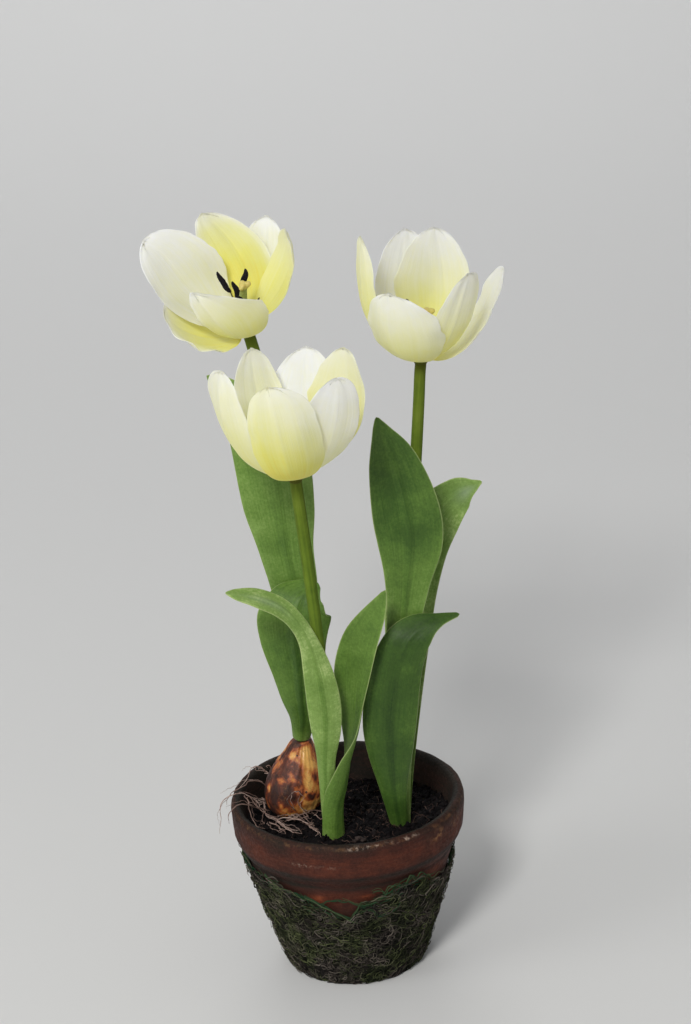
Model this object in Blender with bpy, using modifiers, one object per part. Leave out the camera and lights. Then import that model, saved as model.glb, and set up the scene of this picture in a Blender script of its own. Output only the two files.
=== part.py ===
"""A potted tulip: three flowering tulips in an old terracotta pot, one of them on a bulb that
stands out of the soil. Metres, +Z up. The pot stands on z = 0 with its axis on x = y = 0, and
the front of the arrangement faces -Y. Tables are in millimetres and degrees."""

import math
import random

import bmesh
import bpy
import numpy as np

MM = 0.001
SEED = 7
GAP = 0.3                 # left between pieces that touch
BLADE = 0.8               # thickness of leaves, mm
PETAL = 0.8               # thickness of petals, mm

POT_HEIGHT = 100.6
RIM_RADIUS = 65.0
RIM_WALL = 6.5
BAND_BOTTOM = 75.0        # where the rim band's rounded foot meets the body
NECK_RADIUS = 59.0        # body just under the band
FOOT_RADIUS = 36.5
FLOOR = 8.0               # thickness of the pot's bottom
WALL = 5.5                # thickness of the body's wall
POT_SIDES = 48
DRAIN_RADIUS = 3.2        # three drain holes through the bottom
DRAIN_CIRCLE = 19.0       # and how far from the axis they stand

SOIL_DROP = 13.0          # soil below the rim on the pot's axis
SOIL_SLOPE = 0.145        # the soil is higher at the front, lower at the back
SOIL_BUMP = 1.1

# Bulbs: foot centre, neck centre, largest radius
BULB_1 = ((-31.0, 8.0, 84.5), (-23.0, 7.0, 131.0), 17.3)
BULB_2 = ((-6.0, -25.0, 44.0), (-9.0, -35.5, 84.0), 14.5)
BULB_3 = ((27.0, -13.0, 42.0), (29.5, -21.0, 82.0), 14.5)

# Roots: where on the mat round the bulb the strands start, and those that climb over the rim
ROOT_RADIUS = 0.55
ROOT_STARTS = (4, 5, 6, 7, 8, 9, 10, 11, 12)
ROOTS_OVER_RIM = [
    (5, [(-50, 3, 96), (-56.5, 1, 103.2), (-63, -2, 104), (-68, -4, 100.5), (-70.5, -6, 92), (-70.5, -7, 83)]),
    (6, [(-49, -6, 96), (-55.5, -11, 103.2), (-61.5, -14, 104), (-66.5, -17, 100.5), (-67.5, -19, 95)]),
]

# Stems: points along the middle, then the radius of each
STEM_RADIUS = 3.1
RECEPTACLE_RADIUS = 4.2
STEMS = {
    1: [(-23, 7, 131.7), (-20.5, 12, 180), (-19, 15, 240), (-24, 15, 300), (-32, 13, 348), (-37, 12, 372)],
    2: [(-9, -35.5, 84.5), (-8.6, -37.5, 130), (-9, -41, 190), (-12, -45, 250), (-15, -49, 295),
        (-16, -50, 311)],
    3: [(29.5, -21, 82.7), (32, -15.5, 130), (38, -4, 190), (44, 6, 250), (51, 14, 315), (54, 18, 347)],
}

# Leaves: middle x, y, z, half width left, half width right, azimuth and rise of the side that the
# margins curl towards, curl of the left and of the right half
LEAVES = {
    "leaf_1_tall": [
        (-23, 3.0, 131.8, 4.2, 4.2, 270, 0, -60, -60),
        (-22, 1.5, 162, 7.6, 7.4, 272, 0, -45, -40),
        (-21, 2, 192, 10, 9.8, 272, 0, -30, -25),
        (-21, 2, 222, 12.9, 12.7, 270, 0, -22, -15),
        (-24, 1, 247, 15.1, 15, 268, 0, -18, -12),
        (-26, -1, 272, 19.4, 19, 266, 0, -15, -15),
        (-29, -1, 301, 20.5, 19.5, 264, 0, -15, -15),
        (-38, 0, 324, 16, 14, 260, 0, -18, -20),
        (-51, 2, 341, 7.9, 6.5, 255, 0, -15, -15),
        (-59, 4, 347, 0.7, 0.7, 250, 0, -5, -5),
    ],
    "leaf_1_short": [
        (-23, 1.7, 132.2, 6.0, 6.0, 270, 0, -65, -65),
        (-21.5, -5.5, 149, 8.2, 8.2, 270, 0, -50, -50),
        (-22, -10, 165, 11.4, 11.4, 270, 0, -28, -30),
        (-22, -12, 182, 14.8, 14.4, 270, 0, -12, -12),
        (-23, -13, 200, 18.4, 18, 270, 0, -14, -14),
        (-22, -12.5, 213, 20, 20, 270, 10, -14, -14),
        (-19.5, -9.5, 221, 15.5, 18.5, 270, 28, -12, -12),
        (-14, -5.5, 226, 8.5, 12.5, 270, 48, -8, -8),
        (-8, -2.5, 228, 1.2, 2.5, 270, 55, -4, -4),
    ],
    "leaf_2_left": [
        (-11.6, -39, 92, 5.6, 5.6, 235, 0, -70, -70),
        (-11.6, -40.5, 113, 5.6, 5.6, 240, 0, -65, -65),
        (-10.5, -44.5, 141, 5.8, 5.8, 255, 0, -50, -50),
        (-9, -47, 160.5, 8.4, 8.5, 266, 0, -30, -35),
        (-9, -48, 177, 9.2, 9.4, 270, 0, -22, -30),
        (-11, -48.5, 196, 7.9, 8.1, 272, 4, -15, -25),
        (-15, -49, 215, 5.2, 5.2, 276, 12, -10, -18),
        (-21, -50, 228, 4.8, 4.8, 282, 30, -8, -12),
        (-29, -51, 237, 5.9, 6, 288, 48, -6, -10),
        (-40, -52, 243, 5.9, 5.9, 292, 52, -6, -8),
        (-50, -53, 246, 3.7, 3.7, 292, 52, -5, -5),
        (-56, -53.5, 247.5, 0.7, 0.7, 292, 52, -3, -3),
    ],
    "leaf_2_front": [
        (-6.8, -41.4, 88, 10, 10, 110, 0, 92, 92),
        (-5, -42, 111, 9, 9.5, 125, 0, 85, 88),
        (-0.5, -42, 126, 9.5, 11, 150, 0, 70, 82),
        (3.5, -41.5, 142, 10.5, 10.5, 178, 0, 50, 75),
        (7.5, -41, 158, 12, 6.5, 205, 0, 40, 60),
        (10.5, -40, 174, 16, 5, 220, 0, 30, 50),
        (14.5, -39, 191, 18.5, 4.2, 230, 0, 25, 40),
        (19, -39, 208, 16.5, 3.6, 238, 0, 20, 30),
        (24, -39, 224, 9.5, 3, 243, 0, 15, 20),
        (27, -39, 237, 0.9, 0.9, 247, 0, 5, 5),
    ],
    "leaf_3_front": [
        (28.8, -28.3, 86, 5.4, 5.4, 272, 0, -62, -62),
        (26.8, -32, 102, 6.4, 6.4, 272, 0, -50, -50),
        (25.5, -34, 118, 8.4, 8.4, 272, 0, -40, -40),
        (25, -34, 138, 12.6, 12.6, 272, 0, -28, -28),
        (25.5, -34, 156, 14.9, 15.1, 272, 0, -20, -25),
        (28, -33, 175, 15, 15.2, 272, 4, -18, -25),
        (31.5, -32, 190, 14, 14.6, 274, 10, -14, -25),
        (37, -30, 202, 12, 13, 278, 22, -12, -22),
        (45, -27, 208.5, 9, 9.5, 284, 40, -12, -18),
        (55, -25, 212, 4.6, 4.6, 286, 60, -10, -10),
        (66, -24, 214, 1.3, 1.3, 288, 60, -3, -3),
    ],
    "leaf_3_tall": [
        (29.5, -25.5, 83.4, 4.7, 4.7, 270, 0, -62, -62),
        (30.5, -24.5, 121, 6, 6, 272, 0, -50, -50),
        (33, -21, 164, 7.6, 7.6, 274, 0, -25, -25),
        (35, -19.5, 199, 8.6, 8.4, 274, 0, 8, 8),
        (39, -18, 228, 11.8, 11.8, 274, 0, 14, 12),
        (42, -17, 253, 17.4, 17.3, 274, 0, 16, 12),
        (40, -16, 275, 18, 17.9, 274, 0, 16, 14),
        (35, -15, 301, 12.9, 12.9, 272, 0, 14, 14),
        (30, -16, 318, 4.8, 4.8, 270, 0, 10, 10),
        (28, -16, 325, 0.7, 0.7, 268, 0, 4, 4),
    ],
    "leaf_3_back": [
        (29.6, -16.7, 83.4, 4.3, 4.3, 266, 0, 58, 58),
        (32, -10.4, 118, 6.6, 6.6, 264, 0, 52, 52),
        (36, -1, 160, 10, 10, 264, 0, 42, 42),
        (39, 7, 192, 13.2, 13.2, 266, 0, 34, 34),
        (42.5, 12, 216, 14.6, 14.4, 268, 0, 30, 28),
        (48.5, 15, 238, 15.2, 15, 270, 4, 28, 25),
        (58.5, 16, 256, 14.2, 14, 276, 10, 24, 20),
        (70, 14, 268, 9.7, 9.7, 286, 20, 18, 15),
        (79, 12, 273, 3.3, 3.3, 296, 25, 8, 8),
        (83, 11, 275, 0.7, 0.7, 300, 25, 3, 3),
    ],
}
LEAF_WAVES = {
    "leaf_1_tall": (1.0, 2.3, 0.4),
    "leaf_1_short": (0.9, 1.7, 1.0),
    "leaf_2_left": (0.5, 2.1, 2.0),
    "leaf_2_front": (0.5, 2.0, 0.0),
    "leaf_3_front": (0.8, 2.2, 1.2),
    "leaf_3_tall": (1.0, 2.4, 2.6),
    "leaf_3_back": (0.8, 1.9, 0.7),
}

# Flowers: receptacle, azimuth and angle that the flower leans, then its petals: azimuth, length,
# width of the right and of the left half seen from outside, angle from the axis at the base and at
# the tip, extra bend of the tip, swing of the tip round the axis, distance outside the innermost
# layer, depth of the notch in the tip, twist of the blade, how blunt the tip is
FLOWERS = {
    1: ((-37, 12, 372), (245, 20), [
        (157, 66.5, 22.8, 24.8, 75, 12.9, 47, 2, -0.2, 0, 28, 1.7),
        (74, 61.1, 18.8, 18.1, 81, 29, -11, 32, 2.2, 0, -16, 1.7),
        (66, 57.5, 11.2, 13.5, 85, 39.4, 4, 3, 4, 0, -2, 2.7),
        (26, 59.6, 12.8, 17.6, 80, 15.4, -34, -17, -0.1, 0, 4, 2.6),
        (253, 45.9, 10.5, 26.3, 75, 3.6, 7, -26, 4.4, 3, -13, 1.7),
        (203, 42, 21.2, 20.6, 88, 37.5, -19, -2, 5.1, 0, 13, 4.9),
    ]),
    2: ((-16, -50, 311), (200, 5), [
        (267, 80.7, 15.2, 22, 80, 15, -23, -2, 2.1, 3, 4, 3.3),
        (301, 79.4, 18.3, 15.6, 78, 20.6, -19, 6, 0.7, 0, 17, 2.4),
        (20, 72.9, 17.6, 20.1, 88, 0.3, 2, -6, 0.4, 0, -32, 1.7),
        (82, 69.2, 20.5, 20.5, 85, 23.9, -4, -8, 2.2, 0, -4, 1.7),
        (119, 69.8, 14.6, 14.2, 81, 7.1, -7, -6, -0, 0, 2, 1.7),
        (205, 79.7, 22.5, 18.5, 75, 5.1, -17, 16, 1.4, 0, 6, 2.1),
    ]),
    3: ((54, 18, 347), (285, 7), [
        (230, 57.9, 14.7, 29.3, 80, 10.3, -14, 7, 1.9, 3, -1, 2.5),
        (294, 65.8, 11.9, 16.8, 76, 4.8, 4, 21, 0.4, 0, 2, 3),
        (-1, 63.6, 19, 16.9, 87, 16, 0, 1, 2.6, 0, -2, 2.9),
        (58, 69.5, 18.6, 24.5, 82, 7.5, 7, 16, -0.1, 2, -31, 1.7),
        (113, 69, 18, 17.2, 83, 0.9, 9, -14, 1.9, 0, -7, 1.7),
        (202, 81.7, 13, 13.3, 77, -4.8, 4, -8, -0.1, 0, -3, 2.1),
    ]),
}
PETAL_LETTERS = "abcdef"
PETAL_RELAX = 2.2         # how early along its length a petal turns upright
WIDEST = 0.58             # where along its length a petal is widest
CLAW = 4.95               # radius at which petals start

PISTIL_RADIUS = 1.9
ANTHER_LENGTH = 13.0
ANTHER_RADIUS = 1.1
# Hearts: height of the pistil, how far its top slants, then its stamens: azimuth, radius and height
# at which the anther starts, angle that it leans outwards and to its left
HEARTS = {
    1: (23.0, 5.0, [(137, 5.3, 16.7, 30, 0), (65, 5.6, 17.5, 3, -24), (276, 6.0, 12.8, 28, 0),
                    (105, 5.4, 8.0, 8, 0), (205, 5.6, 7.0, 12, 0), (335, 6.4, 5.0, 30, 0)]),
    2: (22.0, 2.0, [(25, 6.2, 14.0, 14, 0), (85, 5.6, 15.0, 12, 0), (145, 5.6, 14.0, 14, 0),
                    (205, 5.6, 15.0, 14, 0), (265, 5.6, 14.0, 12, 0), (325, 6.2, 13.0, 18, 0)]),
    3: (23.5, 4.5, [(228, 5.8, 22.0, 26, 0), (262, 5.2, 17.0, 30, 0), (165, 5.6, 10.0, 10, 0),
                    (110, 5.6, 9.0, 10, 0), (55, 6.0, 8.0, 14, 0), (318, 6.4, 7.0, 20, 0)]),
}

# Moss: azimuth and height of its upper edge round the pot
MOSS_EDGE = [(0, 60), (35, 66), (80, 70), (130, 68), (180, 70), (205, 69), (222, 69), (236, 66),
             (248, 59), (256, 54), (267, 47), (274, 60), (285, 62), (297, 69), (308, 68),
             (325, 62), (340, 58)]
MOSS_BOTTOM = 1.0
MOSS_THICKNESS = 2.6

MATERIALS = {
    "terracotta": ((0.17, 0.07, 0.045), 0.9),
    "moss": ((0.06, 0.09, 0.03), 1.0),
    "soil": ((0.02, 0.015, 0.012), 1.0),
    "bulb_skin": ((0.72, 0.36, 0.12), 0.55),
    "root": ((0.45, 0.36, 0.28), 0.8),
    "stem": ((0.13, 0.22, 0.04), 0.5),
    "leaf": ((0.08, 0.22, 0.04), 0.5),
    "petal": ((0.87, 0.84, 0.5), 0.6),
    "stamen": ((0.015, 0.012, 0.015), 0.7),
    "pistil": ((0.2, 0.3, 0.06), 0.6),
}


def clear_scene():
    for obj in list(bpy.data.objects):
        bpy.data.objects.remove(obj, do_unlink=True)


def material(name):
    made = bpy.data.materials.get(name)
    if made is None:
        colour, rough = MATERIALS[name]
        made = bpy.data.materials.new(name)
        made.use_nodes = True
        shader = made.node_tree.nodes["Principled BSDF"]
        shader.inputs["Base Color"].default_value = (*colour, 1.0)
        shader.inputs["Roughness"].default_value = rough
        shader.inputs["Metallic"].default_value = 0.0
    return made


def new_object(name, mesh, slot):
    obj = bpy.data.objects.new(name, mesh)
    mesh.materials.append(material(slot))
    bpy.context.scene.collection.objects.link(obj)
    return obj


def mesh_from(name, points_mm, faces):
    mesh = bpy.data.meshes.new(name)
    mesh.from_pydata((np.asarray(points_mm) * MM).tolist(), [], [tuple(f) for f in faces])
    mesh.update()
    return mesh


def face_outward(mesh):
    bm = bmesh.new()
    bm.from_mesh(mesh)
    bmesh.ops.recalc_face_normals(bm, faces=bm.faces)
    bm.to_mesh(mesh)
    bm.free()


def apply_modifiers(obj):
    graph = bpy.context.evaluated_depsgraph_get()
    done = bpy.data.meshes.new_from_object(obj.evaluated_get(graph), depsgraph=graph)
    obj.modifiers.clear()
    obj.data = done


def unit(vectors):
    return vectors / np.linalg.norm(vectors, axis=-1, keepdims=True)


def through(keys, t):
    """A smooth curve through evenly spaced keys, read at each t from 0 to 1."""
    keys = np.asarray(keys, float)
    ends = np.vstack([2 * keys[0] - keys[1], keys, 2 * keys[-1] - keys[-2]])
    x = np.clip(np.asarray(t, float) * (len(keys) - 1), 0, len(keys) - 1 - 1e-9)
    i = x.astype(int)
    f = (x - i)[:, None]
    a, b, c, d = ends[i], ends[i + 1], ends[i + 2], ends[i + 3]
    return 0.5 * (2 * b + (c - a) * f + (2 * a - 5 * b + 4 * c - d) * f**2 + (3 * b - 3 * c + d - a) * f**3)


def pot_outer(z):
    """Outer radius of the pot's body under the band at height z."""
    return FOOT_RADIUS + (NECK_RADIUS - FOOT_RADIUS) * z / BAND_BOTTOM


def pot_inner(z):
    """Inner radius of the pot at height z, on the straight lines between the profile's points."""
    heights = (FLOOR, 10.5, 35.0, 62.0, 73.0, POT_HEIGHT - 2.4)
    radii = [pot_outer(h) - WALL for h in heights[:-1]] + [RIM_RADIUS - RIM_WALL]
    radii[0] -= 2.0
    return np.interp(z, heights, radii)


def soil_height(x, y):
    """Height of the soil's surface: a slope with low lumps."""
    lumps = np.sin(0.31 * x + 1.0) * np.cos(0.27 * y - 0.4) + 0.6 * np.sin(0.53 * x - 0.47 * y)
    return POT_HEIGHT - SOIL_DROP - SOIL_SLOPE * y + SOIL_BUMP * 0.6 * lumps


def make_pot():
    """Turned profile, down the outside, across the foot and up the inside."""
    top = POT_HEIGHT
    outside = [
        (RIM_RADIUS - 3.2, top), (RIM_RADIUS - 1.2, top - 0.5), (RIM_RADIUS, top - 2.2),
        (RIM_RADIUS - 0.3, top - 9), (RIM_RADIUS - 0.7, top - 17), (RIM_RADIUS - 1.6, 79.5),
        (RIM_RADIUS - 3.6, 76.3), (NECK_RADIUS + 0.8, BAND_BOTTOM - 0.6), (NECK_RADIUS - 0.6, 72.0),
        (pot_outer(40.0) + 0.6, 40.0), (FOOT_RADIUS + 0.8, 3.0), (FOOT_RADIUS - 0.8, 0.0),
    ]
    foot = [(0.0, 0.0)]
    inside = [(0.0, FLOOR)] + [(float(pot_inner(z)), z) for z in (FLOOR, 10.5, 35.0, 62.0, 73.0)]
    inside += [(RIM_RADIUS - RIM_WALL, top - 2.4), (RIM_RADIUS - RIM_WALL + 1.2, top - 0.6)]
    profile = outside + foot + inside
    points = [(r, 0.0, z) for r, z in profile]
    count = len(points)
    bm = bmesh.new()
    verts = [bm.verts.new((x * MM, y * MM, z * MM)) for x, y, z in points]
    middle = len(outside)
    for i in range(count):
        if i != middle:
            bm.edges.new((verts[i], verts[(i + 1) % count]))
    mesh = bpy.data.meshes.new("pot")
    bm.to_mesh(mesh)
    bm.free()
    obj = new_object("pot", mesh, "terracotta")
    screw = obj.modifiers.new("turn", "SCREW")
    screw.steps = POT_SIDES
    screw.render_steps = POT_SIDES
    screw.use_merge_vertices = True
    screw.merge_threshold = 0.00001
    apply_modifiers(obj)
    face_outward(obj.data)
    for k in range(3):
        turn = math.radians(90 + 120 * k)
        x, y = DRAIN_CIRCLE * math.cos(turn), DRAIN_CIRCLE * math.sin(turn)
        cut(obj, tube_mesh("drain", [(x, y, -4.0), (x, y, 4.0), (x, y, 12.0)], DRAIN_RADIUS, 10))


def make_moss():
    """A thin uneven sleeve on the pot's body, its upper edge dipping at the front."""
    sides = 56
    rows = 6
    angle = np.arange(sides) * 2 * math.pi / sides
    table = np.array(MOSS_EDGE + [(360, MOSS_EDGE[0][1])], float)
    edge = np.interp(np.degrees(angle), table[:, 0], table[:, 1])
    edge += 0.9 * np.sin(11 * angle) + 0.6 * np.sin(19 * angle + 1.0)
    up = np.linspace(0, 1, rows)[:, None]
    z = MOSS_BOTTOM + (edge[None, :] - MOSS_BOTTOM) * up
    inner = pot_outer(z) + 1.1 + GAP
    swell = 1 + 0.35 * np.sin(7 * angle[None, :] + 9 * up) * np.cos(5 * angle[None, :] - 13 * up)
    outer = inner + MOSS_THICKNESS * swell * (1 - 0.55 * up**3)
    z_outer = z - np.where(up > 0.99, 0.6, 0.0)
    rings = [(inner, z), (outer[::-1], z_outer[::-1])]
    radius = np.vstack([r for r, _ in rings])
    height = np.vstack([h for _, h in rings])
    count = len(radius)
    points = np.stack([radius * np.cos(angle), radius * np.sin(angle), height], -1).reshape(-1, 3)
    faces = []
    for i in range(count):
        j = (i + 1) % count
        for k in range(sides):
            m = (k + 1) % sides
            a, b, c, d = i * sides + k, i * sides + m, j * sides + m, j * sides + k
            faces += [(a, b, c), (a, c, d)]
    mesh = mesh_from("moss", points, faces)
    face_outward(mesh)
    new_object("moss_sleeve", mesh, "moss")


def bulb_mesh(name, foot, neck, radius, grow=0.0, rows=12, sides=18):
    """Lathed onion form whose rings stand on the line from foot to neck."""
    foot, neck = np.array(foot, float), np.array(neck, float)
    t = np.linspace(0, 1, rows)
    table = np.array([(0, 0.36), (0.06, 0.66), (0.16, 0.88), (0.3, 1.0), (0.45, 0.98), (0.6, 0.86),
                      (0.75, 0.66), (0.88, 0.47), (0.96, 0.37), (1, 0.30)])
    ring = np.interp(t, table[:, 0], table[:, 1]) * radius + grow
    centre = foot + (neck - foot) * t[:, None]
    centre[0, 2] -= grow
    centre[-1, 2] += grow
    angle = np.arange(sides) * 2 * math.pi / sides
    lobes = 1 + 0.02 * np.sin(3 * angle + 1) + 0.015 * np.sin(5 * angle)
    x = centre[:, 0:1] + ring[:, None] * np.cos(angle) * lobes
    y = centre[:, 1:2] + ring[:, None] * np.sin(angle) * lobes
    z = np.repeat(centre[:, 2:3], sides, 1)
    points = np.stack([x, y, z], -1).reshape(-1, 3)
    faces = []
    for i in range(rows - 1):
        for k in range(sides):
            m = (k + 1) % sides
            faces.append((i * sides + k, i * sides + m, (i + 1) * sides + m, (i + 1) * sides + k))
    faces.append(tuple(range(sides))[::-1])
    faces.append(tuple((rows - 1) * sides + k for k in range(sides)))
    mesh = mesh_from(name, points, faces)
    face_outward(mesh)
    return mesh


def cut(obj, mesh):
    """Takes the closed mesh out of obj."""
    tool = bpy.data.objects.new("cutter", mesh)
    bpy.context.scene.collection.objects.link(tool)
    step = obj.modifiers.new("cut", "BOOLEAN")
    step.operation = "DIFFERENCE"
    step.solver = "EXACT"
    step.object = tool
    apply_modifiers(obj)
    bpy.data.objects.remove(tool, do_unlink=True)


def tube_mesh(name, points, radii, sides, cap_start=True):
    """A tube of even sides along points, with flat ends."""
    points = np.asarray(points, float)
    radii = np.broadcast_to(np.asarray(radii, float), len(points))
    along = unit(np.gradient(points, axis=0))
    guide = np.array([0.0, 1.0, 0.0]) if abs(along[0][1]) < 0.9 else np.array([1.0, 0.0, 0.0])
    rings = []
    across = unit(np.cross(along[0], guide))
    for p, d, r in zip(points, along, radii):
        across = unit(across - d * np.dot(across, d))
        other = np.cross(d, across)
        angle = np.arange(sides) * 2 * math.pi / sides
        rings.append(p + r * (np.cos(angle)[:, None] * across + np.sin(angle)[:, None] * other))
    rows = len(rings)
    faces = []
    for i in range(rows - 1):
        for k in range(sides):
            m = (k + 1) % sides
            faces.append((i * sides + k, i * sides + m, (i + 1) * sides + m, (i + 1) * sides + k))
    faces.append(tuple(range(sides))[::-1])
    faces.append(tuple((rows - 1) * sides + k for k in range(sides)))
    mesh = mesh_from(name, np.vstack(rings), faces)
    face_outward(mesh)
    return mesh


def make_soil():
    """Fills the pot, with a rough top, a seat for the standing bulb and a plain hole down to each
    buried bulb."""
    sides = POT_SIDES
    angle = np.arange(sides) * 2 * math.pi / sides
    rings = []
    for z in (FLOOR + GAP, 10.5 + GAP, 35.0, 62.0, 73.0):
        radius = float(pot_inner(z)) - GAP - 0.1
        rings.append(np.stack([radius * np.cos(angle), radius * np.sin(angle), np.full(sides, z)], -1))
    rim = pot_inner(soil_height(50 * np.cos(angle), 50 * np.sin(angle)) - 1.5) - GAP - 0.2
    for part in (1.0, 0.8, 0.6, 0.4, 0.2):
        x, y = rim * part * np.cos(angle), rim * part * np.sin(angle)
        rings.append(np.stack([x, y, soil_height(x, y)], -1))
    points = np.vstack(rings)
    faces = []
    for i in range(len(rings) - 1):
        for k in range(sides):
            m = (k + 1) % sides
            a, b, c, d = i * sides + k, i * sides + m, (i + 1) * sides + m, (i + 1) * sides + k
            faces += [(a, b, c), (a, c, d)]
    faces.append(tuple(range(sides))[::-1])
    top = len(points)
    points = np.vstack([points, [0.0, 0.0, float(soil_height(0.0, 0.0))]])
    last = (len(rings) - 1) * sides
    faces += [(last + k, last + (k + 1) % sides, top) for k in range(sides)]
    mesh = mesh_from("soil", points, faces)
    face_outward(mesh)
    obj = new_object("soil", mesh, "soil")
    cut(obj, bulb_mesh("seat", *BULB_1, grow=GAP))
    for (foot, neck, radius), wide in ((BULB_2, 8.8), (BULB_3, 10.2)):
        cut(obj, bulb_mesh("bed", foot, neck, radius, grow=GAP, rows=8, sides=12))
        foot, neck = np.array(foot), np.array(neck)
        start = foot + (neck - foot) * 0.8
        end = np.array([neck[0], neck[1] - 2.5, 104.0])
        cut(obj, tube_mesh("hole", [start, neck, end], wide, 14))
    return obj


def make_bulbs():
    for number, (foot, neck, radius) in enumerate((BULB_1, BULB_2, BULB_3), 1):
        rows, sides = (12, 18) if number == 1 else (8, 12)
        mesh = bulb_mesh("bulb", foot, neck, radius, rows=rows, sides=sides)
        new_object(f"bulb_{number}", mesh, "bulb_skin")


def bulb_radius(z):
    """Radius of the standing bulb, and the middle of its ring, at height z."""
    foot, neck, radius = BULB_1
    t = (z - foot[2]) / (neck[2] - foot[2])
    middle = [foot[i] + (neck[i] - foot[i]) * t for i in (0, 1)]
    return radius * np.interp(t, (0, 0.06, 0.16, 0.3), (0.36, 0.66, 0.88, 1.0)), middle


def make_roots():
    """Old roots of the standing bulb: a mat round its foot, and strands that lie on the soil and
    over the rim, fused to the mat."""
    rng = random.Random(SEED)
    loop = []
    for k in range(18):
        turn = math.radians(95 + 19 * k)
        z = POT_HEIGHT - SOIL_DROP + 2.0
        for _ in range(6):
            radius, middle = bulb_radius(z)
            far = radius * 1.04 + GAP + ROOT_RADIUS + 1.0
            x, y = middle[0] + far * math.cos(turn), middle[1] + far * math.sin(turn)
            z = float(soil_height(x, y)) + ROOT_RADIUS + 1.4
        loop.append((x, y, z))
    obj = new_object("bulb_roots", tube_mesh("mat", loop, ROOT_RADIUS + 0.3, 6), "root")
    pieces = []
    for first in ROOT_STARTS:
        x, y, z = loop[first]
        heading = math.atan2(y - BULB_1[0][1], x - BULB_1[0][0]) + rng.uniform(-0.3, 0.3)
        path = [(x, y, z)]
        turn = rng.uniform(-0.25, 0.25)
        for _ in range(rng.randint(5, 8)):
            heading += turn + rng.uniform(-0.35, 0.35)
            x, y = x + 3.4 * math.cos(heading), y + 3.4 * math.sin(heading)
            if math.hypot(x, y) > 49 or math.hypot(x + 9, y + 38) < 11:
                break
            path.append((x, y, float(soil_height(x, y)) + ROOT_RADIUS + 1.1 + rng.uniform(0, 0.8)))
        if len(path) > 2:
            pieces.append(tube_mesh("strand", path, ROOT_RADIUS, 5))
    for path in ROOTS_OVER_RIM:
        keys = [loop[path[0]]] + list(path[1])
        pieces.append(tube_mesh("strand", through(keys, np.linspace(0, 1, 11)), ROOT_RADIUS, 5))
    join(obj, pieces)


def flower_axes(lean):
    """The flower's own axes: across, across, and up its middle."""
    turn, angle = math.radians(lean[0]), math.radians(lean[1])
    up = np.array([math.sin(angle) * math.cos(turn), math.sin(angle) * math.sin(turn), math.cos(angle)])
    first = unit(np.array([1.0, 0.0, 0.0]) - up * up[0])
    return first, np.cross(up, first), up


def make_stems():
    """A round stem that ends in a low dome just over the petals' claws."""
    for number, keys in STEMS.items():
        path = through(keys, np.linspace(0, 1, 13))
        _, _, up = flower_axes(FLOWERS[number][1])
        base = np.array(FLOWERS[number][0], float)
        path[-1] = base - up * 6.0
        path = np.vstack([path, base - up * 4.6, base + up * 1.2, base + up * 2.0])
        radii = np.full(len(path), STEM_RADIUS)
        radii[0] = STEM_RADIUS - 0.3
        radii[-4:] = (STEM_RADIUS + 0.3, RECEPTACLE_RADIUS, RECEPTACLE_RADIUS, RECEPTACLE_RADIUS - 1.2)
        new_object(f"stem_{number}", tube_mesh("stem", path, radii, 12), "stem")


def thicken(name, grid, slot, thickness):
    """A closed blade of even thickness on a grid of points, split into triangles first."""
    rows, columns = grid.shape[:2]
    bm = bmesh.new()
    bmesh.ops.create_grid(bm, x_segments=rows - 1, y_segments=columns - 1, size=1.0)
    bm.verts.ensure_lookup_table()
    order = sorted(range(rows * columns), key=lambda i: (round(bm.verts[i].co.x, 5), round(bm.verts[i].co.y, 5)))
    flat = grid.reshape(-1, 3) * MM
    for place, index in enumerate(order):
        bm.verts[index].co = flat[place]
    bmesh.ops.triangulate(bm, faces=bm.faces)
    mesh = bpy.data.meshes.new(name)
    bm.to_mesh(mesh)
    bm.free()
    obj = new_object(name, mesh, slot)
    solid = obj.modifiers.new("thickness", "SOLIDIFY")
    solid.thickness = thickness * MM
    solid.offset = 0.0
    apply_modifiers(obj)
    face_outward(obj.data)
    return obj


def leaf_grid(keys, wave, rows, columns):
    """Across each station the blade is an arc; its margins also wave along the length."""
    table = np.asarray(keys, float)
    turn, rise = np.radians(table[:, 5]), np.radians(table[:, 6])
    towards = np.stack([np.cos(turn) * np.cos(rise), np.sin(turn) * np.cos(rise), np.sin(rise)], -1)
    u = np.linspace(0, 1, rows + 1)
    made = through(np.hstack([table[:, :5], towards, table[:, 7:9]]), u)
    middle, towards = made[:, :3], made[:, 5:8]
    along = unit(np.gradient(middle, axis=0))
    towards = unit(towards - along * (towards * along).sum(-1, keepdims=True))
    across = np.cross(along, towards)
    v = np.linspace(-1, 1, columns + 1)[None, :]
    half = np.maximum(np.where(v < 0, made[:, 3:4], made[:, 4:5]), 0.6)
    curl = np.radians(np.where(v < 0, made[:, 8:9], made[:, 9:10]))
    curl = np.where(np.abs(curl) < 1e-3, 1e-3, curl)
    sideways = half / curl * np.sin(curl * np.abs(v)) * np.sign(v)
    lift = half / curl * (1 - np.cos(curl * np.abs(v)))
    size, times, phase = wave
    fade = np.sin(math.pi * u)[:, None] ** 0.7 * np.clip(half / 12, 0, 1)
    lift = lift + size * fade * v**2 * np.sin(2 * math.pi * times * u[:, None] + phase + 1.3 * (v > 0))
    return middle[:, None] + across[:, None] * sideways[..., None] + towards[:, None] * lift[..., None]


def make_leaves():
    for name, keys in LEAVES.items():
        thicken(name, leaf_grid(keys, LEAF_WAVES[name], 16, 6), "leaf", BLADE)


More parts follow.
